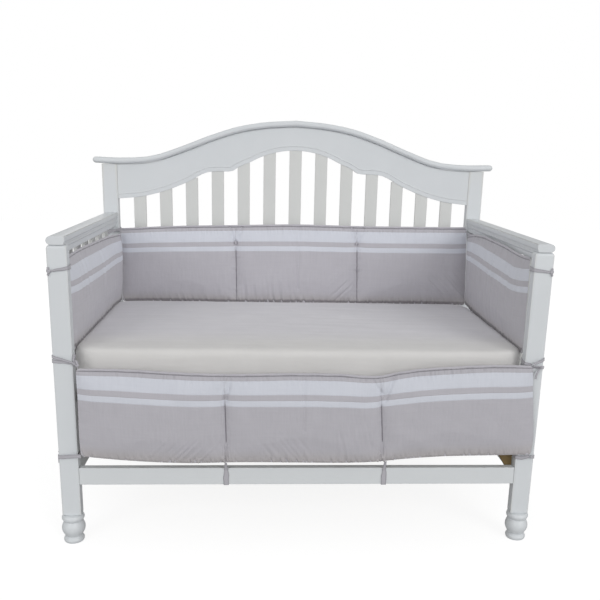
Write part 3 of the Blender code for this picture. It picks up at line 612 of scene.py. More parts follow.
def make_slats(name, count, axis, turn, above):
    """A row of slats along an axis, 0 or 1, from the places of its first and its last solid."""
    first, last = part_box(f"{name}_1"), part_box(f"{name}_{count}")
    middle = [(first[0][i] + first[1][i]) / 2 for i in (0, 1)]
    size = [first[1][i] - first[0][i] for i in (0, 1)]
    step = [0.0, 0.0, 0.0]
    step[axis] = (last[0][axis] - first[0][axis]) / (count - 1)
    slat_row = slat_rule.make(
        name + "s", Count=count, First=(*middle, RAIL_TOP), Step=tuple(step), Width=size[axis],
        Thick=size[1 - axis], Turn=turn, Above=NODES[above])
    fit(slat_row, "painted_wood", *[f"{name}_{number + 1}" for number in range(count)])


make_slats("head_slat", HEAD_SLATS, 0, 0.0, "head_board")
for word in ("left", "right"):
    make_slats(f"side_{word}_slat", SIDE_SLATS, 1, math.pi / 2, f"side_{word}_rail")

# %% [markdown]
# ## The bead on the head board
#
# A thin raised line follows the board's shaped lower edge. It could be carved with a boolean, but a line
# that follows a path is a rule again: rays find the board's edge, and a round profile runs along it, half
# sunk in the board.

# %% Bead along the board
BEAD_ABOVE_EDGE = 0.016
BEAD_RADIUS = 0.0016
BEAD_END = INNER_X - 0.004

board = surface(NODES["head_board"])
board_middle = (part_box("head_board")[0].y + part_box("head_board")[1].y) / 2
board_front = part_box("head_board")[0].y


def board_edge(x):
    """Height of the board's lower edge, found from below."""
    spot, _, _, _ = board.ray_cast(Vector((x, board_middle, 0.5)), Vector((0, 0, 1)))
    return spot.z


bead_rule = Rule("bead_on_path", [
    ("Path", "NodeSocketObject", None), ("Radius", "NodeSocketFloat", BEAD_RADIUS)])
profile = bead_rule.node("GeometryNodeCurvePrimitiveCircle", {"mode": "RADIUS"},
                         {"Resolution": 10, "Radius": bead_rule.input("Radius")})
bead = bead_rule.node("GeometryNodeCurveToMesh", values={
    "Curve": bead_rule.path_of("Path"), "Profile Curve": profile, "Fill Caps": True})
bead_rule.close(bead, paint)


def path_object(name, points):
    """A line of edges, for a rule to follow."""
    mesh = bpy.data.meshes.new(name)
    mesh.from_pydata([tuple(point) for point in points], [(i, i + 1) for i in range(len(points) - 1)], [])
    return linked(name, mesh)


places = np.linspace(-BEAD_END, BEAD_END, 241)
heights = np.array([board_edge(float(x)) for x in places])
slopes = np.gradient(heights, places)
lean = np.sqrt(1 + slopes ** 2)
shifted_x = places - BEAD_ABOVE_EDGE * slopes / lean
shifted_z = heights + BEAD_ABOVE_EDGE / lean
route = path_object("bead_route", [(x, board_front, z) for x, z in zip(shifted_x, shifted_z)])
bead_piece = bead_rule.make("head_board_bead", Path=route)
bpy.data.objects.remove(route, do_unlink=True)
fit(bead_piece, "painted_wood")

# %% [markdown]
# ## Cotton for the panels
#
# The panels' cloth is plain-woven cotton in warm grey, with two white strips pieced in below the top edge.
# The strips follow the cloth and not the room, so each panel carries its own measure in a point
# attribute: metres along it, metres below its top edge, and which face a point is on. The material reads
# that. Threads are far too fine for geometry and go in the bump; the colour has the slubs of the yarn.
#
# Two things here are painter's work. The dark lines in the corners, along the hems, down the channels and in
# the short creases are painted shade in the face layer's colour, because they are narrower than the cells of
# the cloth and soft light barely draws them. And each panel has its own shade of the one grey, which is
# painted light, because the light in the picture falls unevenly from panel to panel.


# %% Panel cloth
SEAM_WIDE = 0.0006           # half the width over which grey turns to white
GROOVE_WIDE = 0.0022         # how far the dip beside a seam reaches
ROLL_SEAM = 0.0086           # below the top edge
SHADOW = (0.12, 0.11, 0.13)
HEM_TONE = (0.46, 0.425, 0.405)      # warmer towards the bottom edge


# Painted light: a panel's colours scaled by its shade, lighter or darker for the light on that panel.
def toned_for_light(shade, *parts):
    return colour(*[part * shade for part in parts])


def pieced(cloth, below, bands):
    """Where the two white strips are, and where their seams dip. bands are (start, end), in metres."""
    ripple = cloth.noise(cloth.place("cloth"), 7.0, 1.0, 0.5) * 0.003 + below - 0.0015
    inside, seam = [], []
    for start, end in bands:
        begins = cloth.step(ripple, start - SEAM_WIDE, start + SEAM_WIDE)
        inside.append(begins * cloth.step(ripple, end - SEAM_WIDE, end + SEAM_WIDE, 1, 0))
        seam += [cloth.step((ripple - place).absolute(), 0.0, GROOVE_WIDE, 1, 0) for place in (start, end)]
    return inside[0] + inside[1], seam[0] + seam[1] + (seam[2] + seam[3])


def panel_cloth(panel, bands, shade, fold_end, hem, tucked, crack):
    """fold_end is where the folds at the channels end, in metres above the panel's bottom edge; the painted
    shade down the channels starts there. hem is how dark the painted shadow along the bottom is, and tucked
    how much of the bottom the mattress hides. crack, where another panel hides the end, is (where its painted
    shadow begins along the panel, where it is darkest)."""
    cloth = Finish(panel.replace("pad", "panel_cloth"), roughness=0.92, sheen_weight=0.2, sheen_roughness=0.6)
    measure = cloth.place("cloth")
    along, below, face = cloth.parts(measure)
    channel, up, _ = cloth.parts(cloth.place("seams"))
    on_face = cloth.step(face, -0.4, -0.1)

    slubs = cloth.noise(measure, 260.0, 4.0, 0.65, (1, 0.05, 0))
    streaks = cloth.noise(measure, 170.0, 3.0, 0.6, (0.05, 1, 0))
    mottle = cloth.noise(measure, 22.0, 4.0, 0.6)
    fleck = slubs * 0.5 + streaks * 0.3 + mottle * 0.2
    grey = cloth.mix(fleck, toned_for_light(shade, 0.410, 0.400, 0.434), toned_for_light(shade, 0.560, 0.546, 0.586))
    white = cloth.mix(fleck, toned_for_light(shade, 0.575, 0.595, 0.660), toned_for_light(shade, 0.705, 0.723, 0.785))
    inside, seam = pieced(cloth, below, bands)
    wear_and_painted_shade = cloth.mix(inside * on_face, grey, white)
    # Darker and warmer towards the bottom edge, on the face outside the white strips.
    near_hem = cloth.step(up, 0.0, 0.05, 0.55, 0.0)
    wear_and_painted_shade = cloth.mix(near_hem * (on_face - inside).at_least(0.0), wear_and_painted_shade, colour(*HEM_TONE))

    # Painted shadow on the face: dark lines down the channels, under the roll, along the bottom and at hidden
    # ends.
    in_fold = cloth.step(channel.absolute(), 0.0005, 0.0020, 1, 0)
    in_fold = in_fold * cloth.step(up, fold_end, fold_end + 0.008)
    in_fold = in_fold * cloth.step(below, 0.085, 0.100, 0.10, 1.0)
    at_roll = cloth.step((below - ROLL_SEAM).absolute(), 0.0003, 0.0016, 0.62, 0)
    at_edge = cloth.step(up, tucked, tucked + 0.006, hem, 0)
    if crack:
        at_edge = at_edge.at_least(cloth.step(along, *crack, 0, hem) * cloth.step(below, 0.004, 0.012))
    wear_and_painted_shade = cloth.mix((in_fold * 0.75 + at_roll + at_edge) * on_face, wear_and_painted_shade, colour(*SHADOW))

    short = cloth.noise(measure, 120.0, 2.0, 0.5, (1, 0.22, 0)) - 0.5
    soft = cloth.noise(measure, 26.0, 3.0, 0.55, (1, 0.6, 0)) - 0.5
    gathered = cloth.step(up, 0.0, 0.035, 1, 0) + cloth.step((below - 0.013).absolute(), 0.0, 0.012, 0.8, 0)
    beside = cloth.step(channel.absolute(), 0.0, 0.018, 0.8, 0)
    # Painted shade in the short creases near the bottom, near the top and beside the channels.
    crease_shade = cloth.step(short, -0.19, -0.07, 0.34, 0) * (gathered + beside) * on_face
    cloth.set("Base Color", cloth.mix(crease_shade, wear_and_painted_shade, toned_for_light(shade, 0.300, 0.285, 0.305)))
    height = short * (gathered + beside) * 0.0030 + soft * 0.0034 + fleck * 0.0003
    cloth.bump(height - seam * on_face * 0.0006, 1.0, 0.9)
    return cloth


LONG_BANDS = ((0.0205, 0.0620), (0.0790, 0.0970))
LEFT_BANDS = ((0.0320, 0.0735), (0.0895, 0.1085))
RIGHT_BANDS = ((0.0275, 0.0620), (0.0785, 0.0960))
# shade is painted light for each panel; hem and crack set how dark its painted shadows are.
PANEL_CLOTHS = table(
    "panel bands shade fold_end hem tucked crack",
    ("pad_back", LONG_BANDS, 1.03, 0.004, 0.55, 0.009, None),
    ("pad_front", LONG_BANDS, 0.98, 0.062, 0.22, 0.002, None),
    ("pad_left", LEFT_BANDS, 1.10, 0.0, 0.60, 0.014, (0.320, 0.338)),
    ("pad_right", RIGHT_BANDS, 1.02, 0.0, 0.60, 0.014, (0.322, 0.342)),
)
CLOTHS = {row["panel"]: panel_cloth(**row) for row in PANEL_CLOTHS}
print("cloth woven for", len(CLOTHS), "panels")

# %% [markdown]
# ## Cutting a panel
#
# A panel is two layers on one outline, with a roll of the back layer over the face's top edge. Rows and
# columns of its grid are spaced so that one lies on each sewn line, because those are the points that the
# thread will hold. A panel runs along one axis, and its face looks into the crib, or at the front panel
# out of it. Its channels are given as shares of its length.

# %% Sizes of a panel
CELL = 0.0072
FOLD_STEPS = (0.0009, 0.0022, 0.0040, 0.0062, 0.0090, 0.0122)    # finer cells beside what is sewn
PROBES = 140                 # rays along a panel that find its edges
CORNER_REACH = 0.014         # the corners are round as far as this
FACE_CROWN = 0.0126          # how far the filling lifts each layer from the middle plane
BACK_CROWN = 0.0106
CHANNEL_OUT = 0.0020         # from the middle plane to the face at a sewn channel
CHANNEL_SOFT = 0.0036        # how quickly the face rises beside it
ROLL = 0.0085                # height of the roll of back cloth over the top edge
ROLL_OUT = 0.0012
ROLL_SWELL = 0.0042
CROWN_POWER = 2.6            # 2 would be an ellipse, more is flatter on top
PANELS = {
    "pad_back": {"along": (1, 0, 0), "face": (0, -1, 0), "channels": (0.328, 0.678)},
    "pad_front": {"along": (1, 0, 0), "face": (0, -1, 0), "channels": (0.3165, 0.6600)},
    "pad_left": {"along": (0, 1, 0), "face": (1, 0, 0), "channels": ()},
    "pad_right": {"along": (0, 1, 0), "face": (-1, 0, 0), "channels": ()},
}
print("panels will have cells of", CELL, "m")

# %% [markdown]
# ## How the tied cloth gives way
#
# A tied panel isn't a rectangle: its ties pull its ends about, its top edge sags between them, and the
# filling leans where nothing holds it. The solid is plainer than that, so three short tables move the
# cloth a little, each by shares or distances along a panel.

# %% Ends, leaning and sagging, in metres
ENDS = table(
    "panel share_up start finish",
    ("pad_front", 0.00, -0.0010, 0.0030),
    ("pad_front", 0.22, -0.0045, 0.0095),
    ("pad_front", 0.65, -0.0055, 0.0045),
    ("pad_front", 1.00, -0.0085, 0.0020),
    ("pad_back", 0.00, -0.0050, 0.0165),
    ("pad_back", 0.50, -0.0050, 0.0090),
    ("pad_back", 1.00, -0.0060, 0.0010),
    ("pad_left", 0.00, 0.0000, -0.0040),
    ("pad_left", 1.00, 0.0000, -0.0040),
)
LEANS = table(
    "panel share_along bottom top",
    ("pad_left", 0.00, 0.0000, 0.0000),
    ("pad_left", 0.80, 0.0010, 0.0035),
    ("pad_left", 1.00, 0.0095, 0.0170),
    ("pad_right", 0.00, 0.0010, 0.0060),
    ("pad_right", 0.50, -0.0010, 0.0075),
    ("pad_right", 1.00, -0.0080, 0.0030),
)
SAGS = table(
    "panel behind top strips",
    ("pad_left", 0.030, 0.000, 0.001),
    ("pad_left", 0.400, 0.000, 0.000),
    ("pad_left", 0.740, 0.001, -0.005),
    ("pad_right", 0.030, 0.009, 0.004),
    ("pad_right", 0.080, 0.009, 0.010),
    ("pad_right", 0.150, 0.010, 0.015),
    ("pad_right", 0.200, 0.010, 0.014),
    ("pad_right", 0.350, 0.014, 0.0125),
    ("pad_right", 0.494, 0.016, 0.008),
    ("pad_right", 0.620, 0.010, 0.002),
    ("pad_right", 0.723, 0.002, -0.003),
)


def through(rows, panel, key, value, at):
    """A column of a table, read between its rows for one panel."""
    of_panel = [row for row in rows if row["panel"] == panel]
    if not of_panel:
        return 0.0
    return np.interp(at, [row[key] for row in of_panel], [row[value] for row in of_panel])


def strip_depth(below, dip):
    """Where the strips see a point that is below the top edge, where they dip by so much."""
    return float(np.interp(below, (0.0, 0.010, 0.0265 + dip, 1.0 + dip), (0.0, 0.010, 0.0265, 1.0)))


print(len(ENDS) + len(LEANS) + len(SAGS), "rows of small moves")

# %% [markdown]
# ## The edges of a panel
#
# Rays through the solid's middle plane find its edges: from above and below along the panel, and from both
# ends up it. A share of the length and a share of the height then name any point of the cloth.


# %% Outline of a panel
class Outline:
    """A panel's edges, in its own plane: a along it, h up."""

    def __init__(self, node):
        about = PANELS[node]
        self.name, self.channels = node, about["channels"]
        self.solid = surface(NODES[node])
        low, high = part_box(node)
        self.along, self.face = Vector(about["along"]), Vector(about["face"])
        depth = (high - low).dot(Vector([abs(value) for value in about["face"]]))
        inner = max(low.dot(self.face), high.dot(self.face))
        self.plane = self.face * (inner - depth * FACE_CROWN / (FACE_CROWN + BACK_CROWN))
        self.low, self.high = low.dot(self.along), high.dot(self.along)
        self.length = self.high - self.low
        levels = np.linspace(low.z + 0.035, high.z - 0.045, 24)
        inner_low = max(self.side(level, -1) for level in levels) + CORNER_REACH
        inner_high = min(self.side(level, 1) for level in levels) - CORNER_REACH
        self.stations = np.linspace(inner_low, inner_high, PROBES)
        self.tops = np.array([self.probe(a, high.z + 0.05, (0, 0, -1)).z for a in self.stations])
        self.bottoms = np.array([self.probe(a, low.z - 0.05, (0, 0, 1)).z for a in self.stations])
        self.height = float(np.mean(self.tops - self.bottoms))
        self.shares = np.linspace(0.012, 0.988, 60)
        self.starts = np.array([self.end(t, -1) for t in self.shares])
        self.finishes = np.array([self.end(t, 1) for t in self.shares])

    def probe(self, a, h, direction):
        start = self.plane + self.along * a + Vector((0, 0, h))
        spot, _, _, _ = self.solid.ray_cast(start, Vector(direction))
        return spot

    def side(self, height, side):
        """How far the panel reaches at a height, to its start (-1) or to its end (1)."""
        a = self.low - 0.1 if side < 0 else self.high + 0.1
        return self.probe(a, height, self.along * -side).dot(self.along)

    def end(self, t, side):
        bottom, top = (self.bottoms[0], self.tops[0]) if side < 0 else (self.bottoms[-1], self.tops[-1])
        return self.side(bottom + (top - bottom) * t, side)

    def edges(self, a):
        top = np.interp(a, self.stations, self.tops) + through(SAGS, self.name, "behind", "top", a - FRONT_Y)
        return np.interp(a, self.stations, self.bottoms), top

    def place(self, s, t):
        """Along and height, from shares of the length and of the height."""
        start = np.interp(t, self.shares, self.starts) + through(ENDS, self.name, "share_up", "start", t)
        finish = np.interp(t, self.shares, self.finishes) + through(ENDS, self.name, "share_up", "finish", t)
        a = start * (1 - s) + finish * s
        bottom, top = self.edges(a)
        return a, bottom + (top - bottom) * t

    def point(self, a, h, out):
        return self.plane + self.along * float(a) + Vector((0, 0, float(h))) + self.face * float(out)


OUTLINES = {name: Outline(name) for name in PANELS}
for name, outline in OUTLINES.items():
    print(name, "is", round(outline.length, 3), "m long and", round(outline.height, 3), "m high")

# %% [markdown]
# ## The grid of a panel
#
# The face is crowned and drawn in at each channel, and above its top seam it ends in the roll of back
# cloth. The back is crowned alone. Both layers share the points of the rim, which closes the skin.

# %% Crown, channels and roll
def full(t):
    return math.sqrt(max(0.0, 1 - abs(2 * t - 1) ** CROWN_POWER))


def spaced(stops, length):
    """Shares of a length with one on every stop, close beside the stops and about a cell apart between."""
    values = [stops[0]]
    for low, high in zip(stops, stops[1:]):
        beside = [step / length for step in FOLD_STEPS]
        middle_low, middle_high = low + beside[-1], high - beside[-1]
        count = round((middle_high - middle_low) * length / CELL)
        values += [low + step for step in beside[:-1]]
        values += [middle_low + (middle_high - middle_low) * i / count for i in range(count + 1)]
        values += [high - step for step in reversed(beside[:-1])] + [high]
    return values


def across_share(s, channels, length, blunt):
    """The share of the full crown at a place along the panel, and how deep in a channel it lies."""
    stops = [0.0, *channels, 1.0]
    section = max(0, min(len(stops) - 2, int(np.searchsorted(stops, s, side="right")) - 1))
    local = (s - stops[section]) / (stops[section + 1] - stops[section])
    outer = section == 0 and local < 0.5 or section == len(stops) - 2 and local > 0.5
    broad = full(local) ** (0.5 if blunt and local > 0.5 else 1.0) if outer else 0.66 + 0.34 * full(local)
    nearest = min([abs(s - channel) * length for channel in channels] or [1.0])
    return broad, math.exp(-nearest / CHANNEL_SOFT)


def face_out(t, edge, across, folded):
    """How far the face stands out: the roll above the top seam, or the crown, drawn in at a channel."""
    if t >= edge:
        u = (1 - t) / (1 - edge)
        return (ROLL_OUT * u + ROLL_SWELL * math.sin(math.pi * u)) * min(1.0, across * 1.4)
    u = t / edge
    rest = ROLL_OUT * max(0.0, 2 * u - 1) ** 6
    out = rest + (FACE_CROWN - rest) * across * full(u)
    return out + ((CHANNEL_OUT - out) * folded if out > CHANNEL_OUT else 0.0)


def panel_mesh(outline):
    """Both layers of a panel as one closed mesh, with its cloth measures and the points held by thread."""
    name, channels, length, height = outline.name, outline.channels, outline.length, outline.height
    edge = 1 - ROLL / height
    columns = spaced([0.0, *channels, 1.0], length)
    rows = spaced([0.0, edge], height) + [1 - (1 - edge) * (1 - step / 4) for step in (1, 2, 3, 4)]
    points, measures, seams, held, index = [], [], [], [], {}
    for layer in (1, -1):
        for i, s in enumerate(columns):
            across, fold = across_share(s, channels, length, name == "pad_left")
            offsets = [(s - channel) * length for channel in channels] or [1.0]
            for j, t in enumerate(rows):
                rim = i in (0, len(columns) - 1) or j in (0, len(rows) - 1)
                if rim and layer < 0:
                    index[layer, i, j] = index[1, i, j]
                    continue
                a, h = outline.place(s, t)
                up, below = t * height, (1 - t) * height
                folded = fold * min(1.0, 0.35 + max(0.0, below - 0.05) / 0.05) * min(1.0, 0.3 + up / 0.07)
                out = face_out(t, edge, across, folded) if layer > 0 else -BACK_CROWN * across * full(t)
                bottom, top = (through(LEANS, name, "share_along", side, s) for side in ("bottom", "top"))
                index[layer, i, j] = len(points)
                points.append(outline.point(a, h, (0.0 if rim else out) + bottom + (top - bottom) * t))
                depth = strip_depth(below, through(SAGS, name, "behind", "strips", a - FRONT_Y))
                measures.append((a, depth, 0.0 if rim else float(layer)))
                seams.append((min(offsets, key=abs), up, min(s, 1 - s) * length))
                sewn = s in channels or layer > 0 and abs(t - edge) < 1e-9
                held.append(1.0 if rim or sewn else 0.0)
    faces = []
    for layer in (1, -1):
        for i in range(len(columns) - 1):
            for j in range(len(rows) - 1):
                corners = ((i, j), (i + 1, j), (i + 1, j + 1), (i, j + 1))
                faces.append([index[layer, *corner] for corner in corners])
    return points, faces, measures, seams, held


print("grids ready")

# %% [markdown]
# ## Filling a panel
#
# Two flat layers don't look filled. Pressure does it: Blender's Cloth swells the closed skin while the
# sewn points stay held, so the cloth draws tight between them and puckers beside them. Gravity is off,
# because the filling carries the cloth. The cloth is cut a little longer than the seam that gathers it,
# which is what real puckers come from. The result is kept as plain mesh, and one subdivision smooths it.

# %% Swelling by simulation
SWELL_STEPS = 16
SWELL_LIMIT = 0.0060
FILLING = {
    "quality": 4,
    "mass": 0.12,
    "tension_stiffness": 12,
    "compression_stiffness": 8,
    "shear_stiffness": 5,
    "bending_stiffness": 0.05,
    "use_pressure": True,
    "uniform_pressure_force": 1.5,
    "vertex_group_mass": "held",
    "vertex_group_shrink": "gathered",
    "shrink_min": -0.003,    # below zero the cloth is cut longer than its place
    "shrink_max": -0.030,
}


def coordinates(mesh):
    flat = np.empty(len(mesh.vertices) * 3)
    mesh.vertices.foreach_get("co", flat)
    return flat.reshape(-1, 3)


def swell(piece, held, gathered):
    """Swells a closed skin, no point by more than the limit. held and gathered are weights of its points."""
    before = coordinates(piece.data)
    for name, weights in (("held", held), ("gathered", gathered)):
        group = piece.vertex_groups.new(name=name)
        for number, weight in enumerate(weights):
            if weight > 0.01:
                group.add([number], float(weight), "REPLACE")
    cloth = piece.modifiers.new("filling", "CLOTH")
    for label, value in FILLING.items():
        setattr(cloth.settings, label, value)
    cloth.settings.effector_weights.gravity = 0.0
    cloth.collision_settings.use_collision = False
    cloth.point_cache.frame_start = 1
    cloth.point_cache.frame_end = SWELL_STEPS
    for number in range(1, SWELL_STEPS + 1):
        scene.frame_set(number)
    ready = piece.evaluated_get(bpy.context.evaluated_depsgraph_get())
    after = coordinates(ready.to_mesh())
    ready.to_mesh_clear()
    piece.modifiers.remove(cloth)
    for name in ("held", "gathered"):
        piece.vertex_groups.remove(piece.vertex_groups[name])
    scene.frame_set(1)
    moved = after - before
    distance = np.linalg.norm(moved, axis=1, keepdims=True)
    moved *= np.minimum(1.0, SWELL_LIMIT / np.maximum(distance, 1e-9))
    piece.data.vertices.foreach_set("co", (before + moved).ravel())
    piece.data.update()
    mean, most = 1000 * distance.mean(), 1000 * distance.max()
    print(f"{piece.name}: moved {mean:.1f} mm on average, {most:.1f} mm at most before the limit")


# %% [markdown]
# ## Puckers
#
# Beside a seam the cloth stands up in small folds, because the thread holds less length than the cloth
# has. The simulation gives the long, soft ones. The short ones are finer than its cells, so they are
# added to the smoothed mesh along its normals. Two small tables say where the cloth is gathered and where
# it is creased, read off the real panels.

# %% Gathers and creases
GATHERS = table(
    "panel along up half_width half_height spacing lean height",
    ("pad_front", 0.000, 0.004, 0.90, 0.016, 0.0130, 0.35, 0.0016),
    ("pad_front", -0.330, 0.030, 0.09, 0.040, 0.0170, -0.90, 0.0010),
    ("pad_front", -0.060, 0.030, 0.10, 0.040, 0.0210, 0.70, 0.0008),
    ("pad_front", 0.170, 0.080, 0.05, 0.070, 0.0190, 0.25, 0.0010),
    ("pad_front", 0.400, 0.257, 0.26, 0.010, 0.0110, 0.10, 0.0010),
    ("pad_front", -0.200, 0.257, 0.30, 0.009, 0.0140, 0.10, 0.0008),
    ("pad_back", 0.000, 0.004, 0.90, 0.020, 0.0150, 0.30, 0.0018),
    ("pad_back", -0.120, 0.040, 0.12, 0.045, 0.0230, 0.10, 0.0014),
    ("pad_back", 0.580, 0.050, 0.06, 0.060, 0.0210, 1.00, 0.0014),
    ("pad_back", 0.180, 0.050, 0.05, 0.050, 0.0210, -1.00, 0.0010),
    ("pad_back", 0.000, 0.272, 0.90, 0.010, 0.0130, 0.10, 0.0009),
    ("pad_left", 0.000, 0.004, 0.90, 0.020, 0.0150, 0.30, 0.0018),
    ("pad_left", 0.000, 0.180, 0.90, 0.120, 0.0420, 0.10, 0.0007),
    ("pad_right", 0.000, 0.004, 0.90, 0.020, 0.0150, 0.30, 0.0018),
    ("pad_right", 0.000, 0.150, 0.90, 0.120, 0.0380, 0.15, 0.0008),
)
# A crease runs from one place on a panel to another, each given along it and down from its top edge.
CREASES = table(
    "panel along_1 below_1 along_2 below_2 half_width depth",
    ("pad_front", 0.006, 0.020, 0.008, 0.170, 0.0032, 0.0011),
    ("pad_front", -0.219, 0.075, -0.205, 0.018, 0.0045, 0.0016),
    ("pad_front", 0.240, 0.080, 0.262, 0.014, 0.0050, 0.0018),
    ("pad_front", 0.232, 0.060, 0.205, 0.016, 0.0045, 0.0012),
    ("pad_back", 0.018, 0.014, 0.016, 0.240, 0.0040, 0.0013),
    ("pad_back", -0.219, 0.070, -0.240, 0.012, 0.0050, 0.0016),
    ("pad_back", -0.219, 0.070, -0.196, 0.012, 0.0050, 0.0014),
    ("pad_back", 0.234, 0.070, 0.214, 0.012, 0.0050, 0.0016),
    ("pad_back", 0.234, 0.070, 0.258, 0.012, 0.0050, 0.0014),
)
FAN_TOP = 0.058              # above the bottom edge, where the front panel's channels fan out into pleats
FAN_DEPTH = 0.0019
SIDE_DEPTH = 0.0016          # of the folds beside the back panel's channels
PUCKER_LIFT = 3.1            # what the heights and depths of both tables are raised by
DRAPE_LIFT = 0.0012          # of the wide, soft unevenness all over


def folds(places, spacing, seed):
    """Uneven folds along a line, about a spacing apart, from -1 to 1."""
    random = np.random.RandomState(seed)
    total = np.zeros_like(places)
    for stretch in (0.72, 0.9, 1.13, 1.45, 1.9):
        phase, lift = random.uniform(0, 2 * math.pi), random.uniform(0.5, 1.0)
        total += lift * np.sin(places * 2 * math.pi / (spacing * stretch) + phase)
    return total / 2.6


def from_crease(along, below, crease):
    """Distance of each point from a crease."""
    run, fall = crease["along_2"] - crease["along_1"], crease["below_2"] - crease["below_1"]
    beside, under = along - crease["along_1"], below - crease["below_1"]
    share = np.clip((beside * run + under * fall) / (run * run + fall * fall), 0, 1)
    return np.hypot(beside - share * run, under - share * fall)


def read_vectors(mesh, attribute):
    flat = np.empty(len(mesh.vertices) * 3)
    mesh.attributes[attribute].data.foreach_get("vector", flat)
    return flat.reshape(-1, 3).T


def write_vectors(mesh, attribute, values):
    made = mesh.attributes.new(attribute, "FLOAT_VECTOR", "POINT")
    made.data.foreach_set("vector", np.array(values, float).ravel())


def channel_folds(name, channel, up, below, seed):
    """Pleats that fan out of the front panel's channels, or slack folds beside those of the back panel."""
    if name == "pad_front":
        spread = np.clip(1 - up / FAN_TOP, 0, 1)
        there = np.exp(-(channel / (0.010 + 0.014 * spread)) ** 2)
        there *= np.clip((FAN_TOP + 0.004 - up) / 0.012, 0, 1)
        return FAN_DEPTH * there * np.cos(2 * math.pi * channel / (0.0052 + 0.0030 * spread))
    there = np.exp(-(np.abs(channel) / 0.020)) * np.clip(np.abs(channel) / 0.003, 0, 1)
    return SIDE_DEPTH * there * folds(below + 0.3 * np.abs(channel), 0.022, seed)


def pucker(piece, name):
    """Moves a panel's points along its normals, by its gathers, creases and folds."""
    mesh = piece.data
    points = coordinates(mesh)
    normals = np.empty(len(mesh.vertices) * 3)
    mesh.vertices.foreach_get("normal", normals)
    along, below, face = read_vectors(mesh, "cloth")
    channel, up, _ = read_vectors(mesh, "seams")
    seed = sum(ord(letter) for letter in name)
    lift = DRAPE_LIFT * folds(along + 0.7 * up, 0.13, seed) * folds(up - 0.4 * along, 0.16, seed + 1)
    for number, group in enumerate(GATHERS):
        if group["panel"] == name:
            there = np.exp(-((along - group["along"]) / group["half_width"]) ** 2
                           - ((up - group["up"]) / group["half_height"]) ** 2)
            line = folds(along + group["lean"] * up, group["spacing"], seed + number)
            lift += PUCKER_LIFT * group["height"] * there * line * (0.75 + 0.45 * folds(along, 0.21, number))
    for crease in CREASES:
        if crease["panel"] == name:
            away = from_crease(along, below, crease)
            lift -= PUCKER_LIFT * crease["depth"] * np.exp(-(away / crease["half_width"]) ** 2)
    lift += channel_folds(name, channel, up, below, seed + 3)
    lift *= np.clip(np.abs(face) * 2, 0, 1) * np.clip(up / 0.002, 0, 1) * np.clip(below / 0.004, 0.15, 1)
    mesh.vertices.foreach_set("co", (points + normals.reshape(-1, 3) * lift[:, None]).ravel())
    mesh.update()


def smoothed(piece):
    """One Catmull-Clark subdivision, kept as plain mesh."""
    fine = piece.modifiers.new("smooth", "SUBSURF")
    fine.levels = 1
    fine.render_levels = 1
    smooth(settle(piece), 70)


# %% [markdown]
# ## Sewing the four panels
#
# Each panel goes through the same hands: cut, filled, smoothed and gathered.

# %% Four panels
def make_panel(name, finish):
    points, faces, measures, seams, held = panel_mesh(OUTLINES[name])
    piece = as_piece(name + "_sewn", points, faces, finish, 80)
    write_vectors(piece.data, "cloth", measures)
    write_vectors(piece.data, "seams", seams)
    below = np.array(measures).T[1]
    channel, up, _ = np.array(seams).T
    gathered = np.exp(-(up / 0.035) ** 2) + 0.5 * np.exp(-(below / 0.03) ** 2)
    gathered += 0.8 * np.exp(-(channel / 0.03) ** 2)
    swell(piece, np.array(held), np.minimum(gathered, 1.0))
    smoothed(piece)
    pucker(piece, name)
    fit(piece, "panel_cloth", name)
    return piece


panels = {name: make_panel(name, CLOTHS[name]) for name in PANELS}
print(len(panels), "panels sewn")

# %% [markdown]
# ## The mattress
#
# A foam block in a fitted sheet: flat on top, with rounded edges, a slight crown, and shallow wrinkles
# where the sheet is drawn over it. A simulation would change little on so firm a piece, so its solid is
# remeshed into even cells, its top is raised by the crown and the wrinkles, and its corners are drawn in.

# %% Sheet cloth
sheet = Finish("sheet_cloth", roughness=0.9, sheen_weight=0.2, sheen_roughness=0.5)
sheet_place = sheet.place()
sheet_y = sheet.parts(sheet_place)[1]
sheet_mottle = sheet.noise(sheet_place, 14.0, 4.0, 0.6)
sheet_threads = sheet.noise(sheet_place, 220.0, 3.0, 0.6, (1, 0.3, 1))
drawn = sheet.noise(sheet_place, 55.0, 3.0, 0.55, (0.07, 1, 0.6))
tones = sheet_mottle * 0.5 + drawn * 0.5
cool = sheet.mix(tones, colour(0.600, 0.592, 0.624), colour(0.755, 0.743, 0.773))
warm = sheet.mix(tones, colour(0.620, 0.610, 0.600), colour(0.750, 0.740, 0.728))
near_front = sheet.step(sheet_y, FRONT_Y + 0.26, FRONT_Y + 0.05)
sheet.set("Base Color", sheet.mix(near_front, cool, warm))
sheet.bump(sheet_threads * 0.0003 + drawn * 0.0022, 1.0, 0.8)
print("sheet cloth ready")

# %% Mattress
MATTRESS_CELL = 0.0095
MATTRESS_CROWN = 0.004
TOP_SOFT = 0.03              # depth over which the crown and the wrinkles fade
WRINKLE, LONG_WRINKLE = 0.0009, 0.0005
CORNER_IN, CORNER_BACK = 0.003, 0.010      # how far the sheet draws in the front corners
SIDE_BULGE = 0.006


